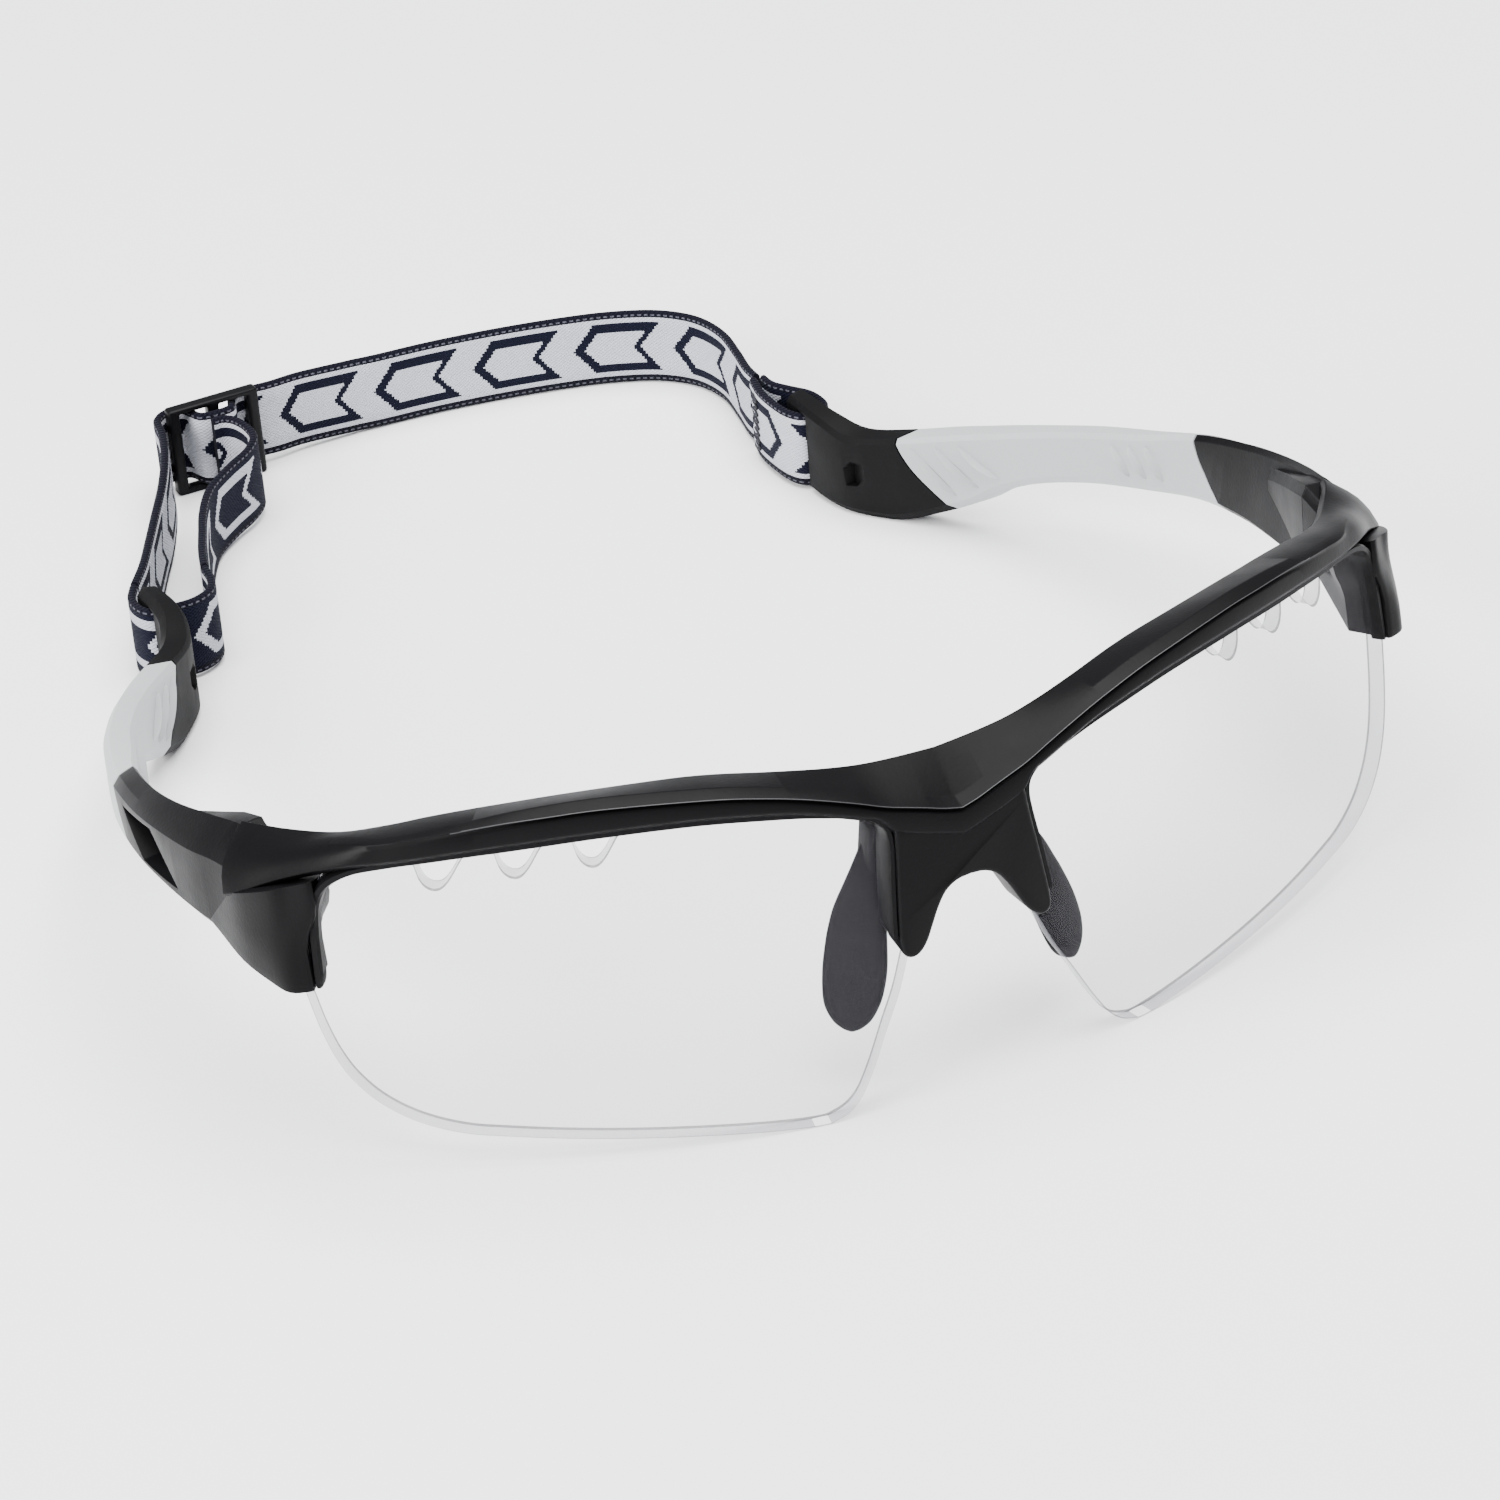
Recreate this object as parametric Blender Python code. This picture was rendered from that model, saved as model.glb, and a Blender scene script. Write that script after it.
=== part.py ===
"""Sports protective goggles with a printed head strap, modelled in Blender.

Half-rim wrap frame, two clear vented lenses, folding temples with soft grips and
tips, bendable nose pads, and a webbing strap with a sliding adjuster.
Sizes are in millimetres and become metres when a mesh is made. +X is the wearer's
left, -Y is the front, +Z is up, and the lenses, tips and strap stand on z = 0.
"""
import math

import bmesh
import bpy
from mathutils import Vector

MM = 0.001
GAP = 0.3                      # clearance kept between pieces that touch
FLAT_ANGLE = math.radians(0.3)  # faces this close to one plane are joined after a cut
FRONT_TO_MIDDLE = 83.7         # from the bridge datum back to the middle of the object

# Lenses: both lie on one cylinder that wraps the face and leans forward at its foot.
WRAP_RADIUS = 100.0
RAKE = 0.17
RAKE_HEIGHT = 32.5
LENS_THICKNESS = 2.0
LENS_NASAL = 6.9
LENS_OUTER = 67.0
VENT_CENTRES = (37.6, 45.1, 52.6)
VENT_HALF_WIDTH = 3.1
VENT_DEPTH = 4.2
LENS_GRIP = 1.4                # how far the lens goes into the brow's groove

# Frame
FRAME_BACK = -3.4
FRAME_FRONT = 2.2
SEAM = (33.0, 35.0, -0.41)     # frame and temple meet: y and z of a point, and slope dy/dz

# Temple hinges
HINGE_X = 65.9
HINGE_Y = 36.2
KNUCKLE_RADIUS = 2.1
SCREW_RADIUS = 0.7
SCREW_HEAD_RADIUS = 1.35
KNUCKLE_LEVELS = (24.0, 26.6, 29.2, 31.8)

# Temple stations: y, outer x, inner x at the top, inner x at the foot, top z, foot z,
# fall of the top face towards the outside, rise of the foot towards the outside.
TEMPLE_STATIONS = (
    (29.0, 69.8, 66.3, 66.3, 36.0, 21.0, 4.2, 0.0),
    (36.0, 70.7, 66.9, 66.4, 34.1, 20.5, 3.2, 0.0),
    (42.0, 71.7, 68.0, 66.5, 32.5, 20.1, 2.8, 0.0),
    (50.0, 72.2, 69.0, 67.1, 30.2, 19.4, 2.1, 0.0),
    (58.0, 72.1, 69.0, 67.6, 28.0, 18.3, 1.6, 0.2),
    (67.5, 70.9, 67.8, 67.2, 25.3, 16.6, 1.1, 0.4),
    (76.0, 68.8, 65.1, 64.8, 22.3, 14.7, 0.7, 0.3),
    (85.0, 66.0, 62.1, 61.8, 19.5, 12.5, 0.4, 0.2),
    (93.0, 62.7, 58.6, 58.4, 17.0, 9.8, 0.3, 0.1),
    (98.0, 60.3, 55.9, 55.7, 15.4, 7.1, 0.2, 0.0),
    (101.0, 58.6, 54.1, 54.0, 14.5, 4.8, 0.2, 0.0),
    (105.0, 56.0, 51.3, 51.3, 13.3, 2.5, 0.1, 0.0),
    (110.0, 52.4, 47.8, 47.8, 11.8, 0.2, 0.1, 0.0),
    (115.0, 48.4, 44.2, 44.2, 10.9, 0.0, 0.1, 0.0),
    (119.5, 46.3, 42.8, 42.8, 11.7, 0.0, 0.1, 0.0),
    (124.0, 45.6, 42.5, 42.5, 11.8, 0.0, 0.1, 0.0),
    (128.6, 45.6, 42.7, 42.7, 11.6, 0.0, 0.1, 0.0),
)
GRIP_FRONT = (65.8, 21.6, 0.75)     # y and z of a point on the joint, and its slope dy/dz
GRIP_REAR = (107.2, 7.5, 0.85)
BLADE_HALF_THICKNESS = 0.7
STRAP_SLOT_Y = 124.2
STRAP_SLOT_HALF = 1.1
TIP_RAIL = 0.3                # rubber above and below the slot

# Strap
STRAP_WIDTH = 10.2
STRAP_THICKNESS = 1.0
STRAP_FOOT = TIP_RAIL + GAP    # height of the webbing's lower edge at a tip
BAND_SAG = 0.45                # how far the band drops between the tips and the slider
SLIDER_LIFT = 0.95             # how far the slider's window lifts the webbing
SLIDER_X = -19.5
SLIDER_Y = 168.8
SLIDER_BAR = 1.5
SLIDER_WINDOW = 3.9
SLIDER_HEIGHT = 12.4
SLIDER_RAIL = 0.8
SLIDER_THICKNESS = 1.8

SIDES = (("right", -1), ("left", 1))


def clear_scene():
    for obj in list(bpy.data.objects):
        bpy.data.objects.remove(obj, do_unlink=True)


def material(name, color, roughness, metallic=0.0, alpha=1.0):
    """One Principled material, made once and shared."""
    made = bpy.data.materials.get(name)
    if made:
        return made
    made = bpy.data.materials.new(name)
    made.use_nodes = True
    shader = made.node_tree.nodes["Principled BSDF"]
    shader.inputs["Base Color"].default_value = (*color, 1.0)
    shader.inputs["Roughness"].default_value = roughness
    shader.inputs["Metallic"].default_value = metallic
    shader.inputs["Alpha"].default_value = alpha
    made.diffuse_color = (*color, alpha)
    return made


def frame_black():
    return material("frame_black", (0.012, 0.012, 0.014), 0.38)


def lens_clear():
    return material("lens_clear", (0.86, 0.87, 0.92), 0.03, alpha=0.25)


def grip_grey():
    return material("grip_grey", (0.56, 0.59, 0.60), 0.6)


def rubber_black():
    return material("rubber_black", (0.018, 0.018, 0.02), 0.62)


def screw_steel():
    return material("screw_steel", (0.55, 0.55, 0.57), 0.3, metallic=1.0)


def slider_black():
    return material("slider_black", (0.014, 0.014, 0.016), 0.45)


def webbing():
    return material("webbing", (0.30, 0.30, 0.36), 0.85)


def thread():
    return material("thread", (0.02, 0.02, 0.03), 0.8)


def smoothstep(a, b, value):
    """Smooth step from 0 at a to 1 at b."""
    t = min(max((value - a) / (b - a), 0.0), 1.0)
    return t * t * (3.0 - 2.0 * t)


def table(keys, value):
    """Value read from (position, value) keys, straight between neighbours."""
    if value <= keys[0][0]:
        return keys[0][1]
    for (a, low), (b, high) in zip(keys, keys[1:]):
        if value <= b:
            return low + (high - low) * (value - a) / (b - a)
    return keys[-1][1]


def wrap(x, z, out=0.0):
    """Point at side x and height z on the lens cylinder, moved outward by out."""
    angle = math.asin(x / WRAP_RADIUS)
    radius = WRAP_RADIUS + out
    y = WRAP_RADIUS - radius * math.cos(angle) - RAKE * (RAKE_HEIGHT - z)
    return Vector((radius * math.sin(angle), y, z))


def make_object(name, bm, mat, pivot=(0.0, 0.0, 0.0)):
    """Named object from a bmesh in millimetres, with its origin at the pivot."""
    bmesh.ops.remove_doubles(bm, verts=bm.verts, dist=0.002)
    bmesh.ops.dissolve_degenerate(bm, edges=bm.edges, dist=0.001)
    bmesh.ops.recalc_face_normals(bm, faces=bm.faces)
    origin = Vector(pivot)
    place = Vector((0.0, -FRONT_TO_MIDDLE, 0.0))
    bmesh.ops.translate(bm, verts=bm.verts, vec=-origin)
    bmesh.ops.scale(bm, verts=bm.verts, vec=(MM, MM, MM))
    mesh = bpy.data.meshes.new(name)
    bm.to_mesh(mesh)
    bm.free()
    obj = bpy.data.objects.new(name, mesh)
    obj.location = (origin + place) * MM
    bpy.context.scene.collection.objects.link(obj)
    mesh.materials.append(mat)
    mesh.shade_smooth()
    mesh.set_sharp_from_angle(angle=math.radians(35.0))
    return obj


def loft(rings):
    """Closed body through rings of points, capped at both ends."""
    bm = bmesh.new()
    loops = [[bm.verts.new(point) for point in ring] for ring in rings]
    count = len(loops[0])
    for near, far in zip(loops, loops[1:]):
        for i in range(count):
            j = (i + 1) % count
            bm.faces.new((near[i], near[j], far[j], far[i]))
    caps = [bm.faces.new(loops[0]), bm.faces.new(loops[-1])]
    bmesh.ops.triangulate(bm, faces=caps)
    bmesh.ops.recalc_face_normals(bm, faces=bm.faces)
    return bm


def hull(points):
    """Convex body around the points."""
    bm = bmesh.new()
    for point in points:
        bm.verts.new(point)
    bmesh.ops.convex_hull(bm, input=bm.verts)
    loose = [v for v in bm.verts if not v.link_faces]
    bmesh.ops.delete(bm, geom=loose, context="VERTS")
    bmesh.ops.recalc_face_normals(bm, faces=bm.faces)
    return bm


def cylinder(x, y, z_low, z_high, radius, sides=16):
    ring = [(x + radius * math.cos(math.tau * i / sides), y + radius * math.sin(math.tau * i / sides))
            for i in range(sides)]
    return loft([[(px, py, z) for px, py in ring] for z in (z_low, z_high)])


def block(low, high):
    return hull([(x, y, z) for x in (low[0], high[0]) for y in (low[1], high[1]) for z in (low[2], high[2])])


def mirrored(bm, side):
    """The left-hand shape, or its mirror image for the right-hand side."""
    if side < 0:
        bmesh.ops.scale(bm, verts=bm.verts, vec=(-1.0, 1.0, 1.0))
        bmesh.ops.reverse_faces(bm, faces=bm.faces)
    return bm


def boolean(target, other, operation):
    """Target bmesh combined with another by an exact Boolean; both are used up."""
    objects = []
    for label, bm in (("target", target), ("tool", other)):
        bmesh.ops.triangulate(bm, faces=bm.faces)
        mesh = bpy.data.meshes.new(label)
        bm.to_mesh(mesh)
        bm.free()
        obj = bpy.data.objects.new(label, mesh)
        bpy.context.scene.collection.objects.link(obj)
        objects.append(obj)
    modifier = objects[0].modifiers.new("combine", "BOOLEAN")
    modifier.operation = operation
    modifier.solver = "EXACT"
    modifier.object = objects[1]
    graph = bpy.context.evaluated_depsgraph_get()
    result = bmesh.new()
    result.from_mesh(objects[0].evaluated_get(graph).to_mesh())
    for obj in objects:
        mesh = obj.data
        bpy.data.objects.remove(obj, do_unlink=True)
        bpy.data.meshes.remove(mesh)
    bmesh.ops.remove_doubles(result, verts=result.verts, dist=0.003)
    bmesh.ops.dissolve_degenerate(result, edges=result.edges, dist=0.003)
    bmesh.ops.dissolve_limit(result, angle_limit=FLAT_ANGLE, verts=result.verts, edges=result.edges)
    return result


def union(bm, *others):
    for other in others:
        bm = boolean(bm, other, "UNION")
    return bm


def cut(bm, *others):
    for other in others:
        bm = boolean(bm, other, "DIFFERENCE")
    return bm


# ---------------------------------------------------------------- lenses

BROW_LOW = ((0.0, 29.2), (7.5, 31.6), (8.6, 33.2), (10.6, 34.5), (13.6, 35.4), (19.0, 36.6), (28.0, 37.7),
            (38.0, 37.75), (48.0, 36.9), (56.0, 35.6), (61.0, 34.4), (64.5, 32.2), (70.0, 31.8))
LENS_FOOT = ((6.9, 19.0), (8.0, 16.2), (9.5, 12.6), (11.3, 9.4), (13.8, 4.8), (15.9, 1.7), (18.2, 0.2),
             (21.5, 0.0), (35.0, 1.6), (50.0, 3.0), (55.0, 3.5), (59.0, 4.6), (62.0, 6.4), (64.0, 8.6),
             (65.3, 11.2), (66.0, 14.0), (66.5, 17.0), (67.0, 21.0))


def lens_top(x):
    """Top edge of a lens: up inside the brow's groove, dipping at each vent."""
    edge = table(BROW_LOW, x)
    top = edge + LENS_GRIP
    for centre in VENT_CENTRES:
        reach = abs(x - centre) / VENT_HALF_WIDTH
        if reach < 1.0:
            top = min(top, edge - VENT_DEPTH + (VENT_DEPTH + LENS_GRIP) * reach ** 2.6)
    return top


def lens_columns():
    """Side positions where a lens outline is sampled, closer at corners and vents."""
    columns = {LENS_NASAL, LENS_OUTER}
    columns.update(x for x, _ in LENS_FOOT)
    columns.update((9.5, 13.0, 24.0, 28.0, 31.0))
    for centre in VENT_CENTRES:
        for part in (-1.0, -0.85, -0.6, -0.3, 0.0, 0.3, 0.6, 0.85, 1.0):
            columns.add(round(centre + VENT_HALF_WIDTH * part, 3))
    return sorted(columns)


def lens_solid(front, back, grow=0.0, vents=True):
    """Lens sheet between two offsets of the wrap cylinder, grown at its edges by grow."""
    rings = []
    for x in lens_columns():
        low = table(LENS_FOOT, x) - grow
        high = (lens_top(x) if vents else table(BROW_LOW, x) + LENS_GRIP) + grow
        side = x
        if x == LENS_NASAL:
            side = x - grow
        if x == LENS_OUTER:
            side = x + grow
        corners = ((low, front), (high, front), (high, back), (low, back))
        rings.append([wrap(side, z, out) for z, out in corners])
    return loft(rings)


def make_lenses():
    for label, side in SIDES:
        make_object(f"lens_{label}", mirrored(lens_solid(0.0, -LENS_THICKNESS), side), lens_clear())


# ---------------------------------------------------------------- front frame

RIDGE_Z = ((0.0, 32.8), (4.6, 34.2), (8.2, 35.3), (11.5, 36.6), (17.2, 38.5), (24.0, 40.0), (31.0, 40.7),
           (38.0, 40.9), (46.0, 40.2), (51.0, 39.3), (57.5, 38.0), (68.0, 36.2))
TOP_Z = ((0.0, 37.4), (9.0, 37.9), (19.0, 39.1), (28.0, 40.1), (38.0, 40.1), (46.0, 39.3), (54.0, 38.1),
         (58.0, 37.3), (68.0, 35.6))


def brow_ring(x):
    """Section of the brow bar at side x, front lower edge first."""
    low = table(BROW_LOW, abs(x))
    ridge = table(RIDGE_Z, abs(x))
    top = table(TOP_Z, abs(x))
    lower_front = FRAME_FRONT - 0.7
    outward = FRAME_FRONT + 0.8 * smoothstep(50.0, 66.0, abs(x))
    section = ((lower_front, low), (outward - 0.2, low + 0.9), (outward + 0.3, ridge),
               (outward - 1.2, ridge + 0.7), (FRAME_BACK + 1.6, top), (FRAME_BACK, top - 0.9),
               (FRAME_BACK, low + 0.8), (FRAME_BACK + 0.6, low))
    return [wrap(x, z, out) for out, z in section]


def brow_bar():
    right_half = (-66.0, -63.0, -60.0, -56.0, -52.0, -46.0, -40.0, -34.0, -28.0, -22.0, -17.0, -13.0, -9.5,
                  -7.5, -4.0)
    stations = list(right_half) + [0.0] + [-x for x in reversed(right_half)]
    return loft([brow_ring(x) for x in stations])


def outline_plate(outline, front, back):
    """Plate over an outline of (x, z) points laid on the wrap cylinder."""
    bm = bmesh.new()
    near = [bm.verts.new(wrap(x, z, front)) for x, z in outline]
    far = [bm.verts.new(wrap(x, z, back)) for x, z in outline]
    count = len(outline)
    for i in range(count):
        j = (i + 1) % count
        bm.faces.new((near[i], near[j], far[j], far[i]))
    caps = [bm.faces.new(near), bm.faces.new(far)]
    bmesh.ops.triangulate(bm, faces=caps)
    bmesh.ops.recalc_face_normals(bm, faces=bm.faces)
    return bm


NOSE_HALF_OUTLINE = ((0.0, 24.9), (2.2, 24.6), (3.8, 23.2), (5.0, 21.2), (6.0, 19.2), (7.2, 17.9),
                     (8.6, 17.8), (9.4, 18.9), (9.2, 21.5), (8.6, 26.0), (7.9, 31.0), (8.2, 33.6))


def bridge():
    """Bridge and both nose arms in one plate with an arch over the nose."""
    left = list(NOSE_HALF_OUTLINE)
    right = [(-x, z) for x, z in reversed(left) if x > 0.0]
    return outline_plate(left + right, FRAME_FRONT - 0.1, FRAME_BACK + 0.2)


def end_block():
    """Corner of the frame between the brow and a temple, before the seam is cut."""
    return hull([
        wrap(60.0, 37.0, 2.2), wrap(60.0, 34.8, 2.2), wrap(60.0, 36.2, -3.2), wrap(60.0, 34.8, -3.2),
        (63.2, 20.9, 34.9), (67.4, 26.5, 31.8), (71.6, 31.7, 28.8), (72.0, 38.6, 27.6),
        (65.7, 28.8, 34.4), (69.2, 34.3, 32.6), (70.4, 40.6, 31.3),
        (62.8, 30.2, 34.4), (66.0, 35.2, 33.8), (67.4, 41.3, 32.0), (64.9, 34.6, 27.8), (67.8, 40.0, 27.0),
    ])


def drop():
    """Lower lug of the frame corner that runs down beside the lens."""
    return hull([
        wrap(64.9, 33.0, 1.9), wrap(65.3, 20.4, 1.7), wrap(67.3, 20.4, 2.2),
        wrap(64.9, 33.0, -3.6), wrap(65.4, 20.5, -3.6),
        (69.9, 25.3, 20.6), (71.0, 29.8, 21.1), (71.3, 35.5, 21.8), (71.6, 41.0, 22.5),
        (70.3, 30.2, 29.5), (71.4, 34.4, 29.0), (71.6, 38.6, 29.0),
        (65.9, 36.8, 21.5), (66.2, 39.0, 22.4), (65.4, 36.6, 27.8),
    ])


def knuckle(index, side_gap=0.0, radius=KNUCKLE_RADIUS):
    """One of the three hinge knuckles, counted from the bottom."""
    low = KNUCKLE_LEVELS[index] - side_gap
    high = KNUCKLE_LEVELS[index + 1] + side_gap
    return cylinder(HINGE_X, HINGE_Y, low, high, radius)


def frame_knuckle(index):
    """Frame knuckle with the web that joins it to the corner block."""
    half = GAP / 2.0
    low = KNUCKLE_LEVELS[index] + half
    high = KNUCKLE_LEVELS[index + 1] - half
    web = block((HINGE_X - 1.4, HINGE_Y - 4.0, low), (HINGE_X + 1.6, HINGE_Y, high))
    return union(cylinder(HINGE_X, HINGE_Y, low, high, KNUCKLE_RADIUS), web)


def make_front_frame():
    body = union(brow_bar(), bridge())
    for _, side in SIDES:
        corner = slice_body(union(end_block(), drop()), SEAM, -GAP / 2.0, keep_rear=False)
        corner = cut(corner, knuckle(1, GAP / 2.0, KNUCKLE_RADIUS + GAP))
        body = union(body, mirrored(corner, side))
        body = union(body, mirrored(frame_knuckle(0), side), mirrored(frame_knuckle(2), side))
        body = cut(body, mirrored(lens_solid(GAP, -LENS_THICKNESS - GAP, GAP, vents=False), side))
        low = KNUCKLE_LEVELS[0] - 1.0
        high = KNUCKLE_LEVELS[3] + 1.0
        bore = cylinder(HINGE_X, HINGE_Y, low, high, SCREW_RADIUS + GAP, 12)
        head_room = cylinder(HINGE_X, HINGE_Y, KNUCKLE_LEVELS[3], 40.0, SCREW_HEAD_RADIUS + GAP)
        body = cut(body, mirrored(bore, side), mirrored(head_room, side))
    make_object("front_frame", body, frame_black())


def make_hinge_screws():
    for label, side in SIDES:
        top = KNUCKLE_LEVELS[3]
        shank = cylinder(HINGE_X, HINGE_Y, KNUCKLE_LEVELS[0] + 0.2, top + 0.6, SCREW_RADIUS, 12)
        head = cylinder(HINGE_X, HINGE_Y, top + GAP / 2.0, top + 1.1, SCREW_HEAD_RADIUS)
        make_object(f"hinge_screw_{label}", mirrored(union(shank, head), side), screw_steel(),
                    (side * HINGE_X, HINGE_Y, 0.0))


# ---------------------------------------------------------------- nose pads

PAD_STATIONS = ((29.0, 8.0, 4.8, 1.2), (27.0, 8.3, 4.7, 1.5), (24.0, 9.2, 4.45, 2.0), (21.0, 10.2, 4.05, 2.8),
                (17.0, 11.4, 3.15, 3.4), (14.0, 12.2, 2.3, 3.55), (11.0, 12.9, 1.7, 3.2),
                (9.0, 13.2, 1.45, 2.3), (8.0, 13.3, 1.35, 1.3))
PAD_SWEEP = math.radians(35.0)
PAD_HALF_THICKNESS = 1.35
CORE_TOP = 30.6
CORE_FOOT = 13.0


def pad_ring(station, half_thickness, side_scale, sides=12):
    """Flattened oval section of a nose pad, swept back from the nose."""
    z, x, y, half = station
    along = Vector((math.cos(PAD_SWEEP), math.sin(PAD_SWEEP), 0.0))
    across = Vector((-along.y, along.x, 0.0))
    centre = Vector((x, y, z))
    thin = half_thickness * min(1.0, 0.5 + half / 5.0)
    return [centre + along * (half * side_scale * math.cos(math.tau * i / sides))
            + across * (thin * math.sin(math.tau * i / sides)) for i in range(sides)]


def pad_centre(z):
    keys_x = [(s[0], s[1]) for s in reversed(PAD_STATIONS)]
    keys_y = [(s[0], s[2]) for s in reversed(PAD_STATIONS)]
    return table(keys_x, z), table(keys_y, z)


def core_blade(half_width, half_thickness, foot, top):
    """Thin springy core that carries a nose pad."""
    along = Vector((math.cos(PAD_SWEEP), math.sin(PAD_SWEEP), 0.0))
    across = Vector((-along.y, along.x, 0.0))
    rings = []
    for i in range(7):
        z = foot + (top - foot) * i / 6.0
        x, y = pad_centre(z)
        centre = Vector((x, y, z))
        corners = ((-1, -1), (1, -1), (1, 1), (-1, 1))
        rings.append([centre + along * (half_width * a) + across * (half_thickness * b) for a, b in corners])
    return loft(rings)


def make_nose_pads():
    for label, side in SIDES:
        pivot = (side * PAD_STATIONS[0][1], PAD_STATIONS[0][2], CORE_TOP)
        pad = loft([pad_ring(station, PAD_HALF_THICKNESS, 1.0) for station in PAD_STATIONS])
        pad = cut(pad, core_blade(0.6 + GAP, 0.3 + GAP, CORE_FOOT - GAP, CORE_TOP))
        make_object(f"nose_pad_{label}", mirrored(pad, side), rubber_black(), pivot)
        core = core_blade(0.6, 0.3, CORE_FOOT, CORE_TOP)
        foot = block((6.6, 3.35, 29.75), (9.6, 5.8, 31.6))
        make_object(f"nose_pad_core_{label}", mirrored(union(core, foot), side), frame_black(), pivot)


# ---------------------------------------------------------------- temples

def temple_at(y):
    """The seven section sizes of a temple at depth y."""
    return [table([(s[0], s[k]) for s in TEMPLE_STATIONS], y) for k in range(1, 8)]


def temple_ring(y):
    """Chamfered section of a temple at depth y."""
    outer, inner_top, inner_low, top, low, fall, rise = temple_at(y)
    return [Vector(p) for p in (
        (inner_top + 0.5, y, top), (outer - 0.9, y, top - fall + 0.5), (outer, y, top - fall - 0.5),
        (outer, y, low + rise + 1.4), (outer - 1.0, y, low + rise), (inner_low + 0.8, y, low),
        (inner_low, y, low + 1.0), (inner_top, y, top - 0.7))]


def temple_body():
    depths = [s[0] for s in TEMPLE_STATIONS]
    extra = [(a + b) / 2.0 for a, b in zip(depths[5:], depths[6:])]
    return loft([temple_ring(y) for y in sorted(depths + extra)])


def slice_body(bm, joint, offset, keep_rear):
    """Part of a temple in front of or behind a sloping joint, with a flat capped face."""
    y, z, slope = joint
    normal = Vector((0.0, 1.0, -slope)).normalized()
    point = Vector((0.0, y, z)) + normal * offset
    geometry = bm.verts[:] + bm.edges[:] + bm.faces[:]
    made = bmesh.ops.bisect_plane(bm, geom=geometry, plane_co=point, plane_no=normal, dist=0.0001,
                                  clear_inner=keep_rear, clear_outer=not keep_rear)
    edges = [e for e in made["geom_cut"] if isinstance(e, bmesh.types.BMEdge)]
    bmesh.ops.triangle_fill(bm, edges=edges, use_beauty=True)
    bmesh.ops.recalc_face_normals(bm, faces=bm.faces)
    return bm


def blade_ring(y, grow):
    """Section of the flat core that runs inside the grip and the tip."""
    outer, inner_top, inner_low, top, low, _, _ = temple_at(y)
    x = (outer + (inner_top + inner_low) / 2.0) / 2.0
    middle = (top + low) / 2.0
    half_x = BLADE_HALF_THICKNESS + grow
    half_z = (top - low) * 0.27 + grow
    return [Vector((x + half_x * a, y, middle + half_z * b)) for a, b in ((-1, -1), (1, -1), (1, 1), (-1, 1))]


def blade(grow=0.0):
    depths = (58.0, 64.0, 70.0, 76.0, 82.0, 88.0, 94.0, 100.0, 104.0, 108.0, 110.5, 112.5)
    rings = [blade_ring(y, grow) for y in depths]
    if grow:
        rings.append([v + Vector((-0.3, GAP, 0.0)) for v in rings[-1]])
    return loft(rings)


def pocket():
    """Three-cornered recess in the outer face of a temple."""
    outline = ((62.6, 24.0), (52.0, 26.7), (45.2, 22.0), (56.0, 20.6))
    return hull([(x, y, z) for y, z in outline for x in (70.8, 75.0)])


def make_temples():
    for label, side in SIDES:
        pivot = (side * HINGE_X, HINGE_Y, 0.0)
        arm = slice_body(temple_body(), SEAM, GAP / 2.0, keep_rear=True)
        arm = slice_body(arm, GRIP_FRONT, -GAP / 2.0, keep_rear=False)
        arm = cut(arm, pocket())
        sweep = KNUCKLE_RADIUS + GAP
        for index in (0, 2):
            arm = cut(arm, knuckle(index, GAP / 2.0, sweep))
        arm = cut(arm, cylinder(HINGE_X, HINGE_Y, KNUCKLE_LEVELS[3] - GAP, 40.0, sweep))
        arm = cut(arm, cylinder(HINGE_X, HINGE_Y, 20.0, KNUCKLE_LEVELS[0] + GAP, sweep))
        half = GAP / 2.0
        low = KNUCKLE_LEVELS[1] + half
        high = KNUCKLE_LEVELS[2] - half
        web = block((HINGE_X, HINGE_Y, low), (HINGE_X + 2.6, HINGE_Y + 3.0, high))
        arm = union(arm, cylinder(HINGE_X, HINGE_Y, low, high, KNUCKLE_RADIUS), web)
        bore = cylinder(HINGE_X, HINGE_Y, low - 1.0, high + 1.0, SCREW_RADIUS + GAP, 12)
        arm = union(cut(arm, bore), blade())
        make_object(f"temple_{label}", mirrored(arm, side), frame_black(), pivot)

        grip = slice_body(temple_body(), GRIP_FRONT, GAP / 2.0, keep_rear=True)
        grip = slice_body(grip, GRIP_REAR, -GAP / 2.0, keep_rear=False)
        make_object(f"temple_grip_{label}", mirrored(cut(grip, blade(GAP)), side), grip_grey(), pivot)

        tip = slice_body(temple_body(), GRIP_REAR, GAP / 2.0, keep_rear=True)
        tip = cut(tip, blade(GAP), eyelet(), strap_slot())
        make_object(f"temple_tip_{label}", mirrored(tip, side), rubber_black(), pivot)


def strap_slot():
    """Tall slot near the end of a tip, with a bar behind it for the webbing."""
    low = TIP_RAIL
    high = low + STRAP_WIDTH + 2.0 * GAP
    return block((40.0, STRAP_SLOT_Y - STRAP_SLOT_HALF, low), (50.0, STRAP_SLOT_Y + STRAP_SLOT_HALF, high))


def eyelet():
    """Small blind eye moulded in the inner face of a tip."""
    corners = ((-1.2, 1.6), (1.2, 1.0), (1.2, -1.6), (-0.6, -1.6))
    return hull([(x, 114.4 + dy, 5.7 + dz) for x in (41.0, 45.2) for dy, dz in corners])


# ---------------------------------------------------------------- strap

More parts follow.
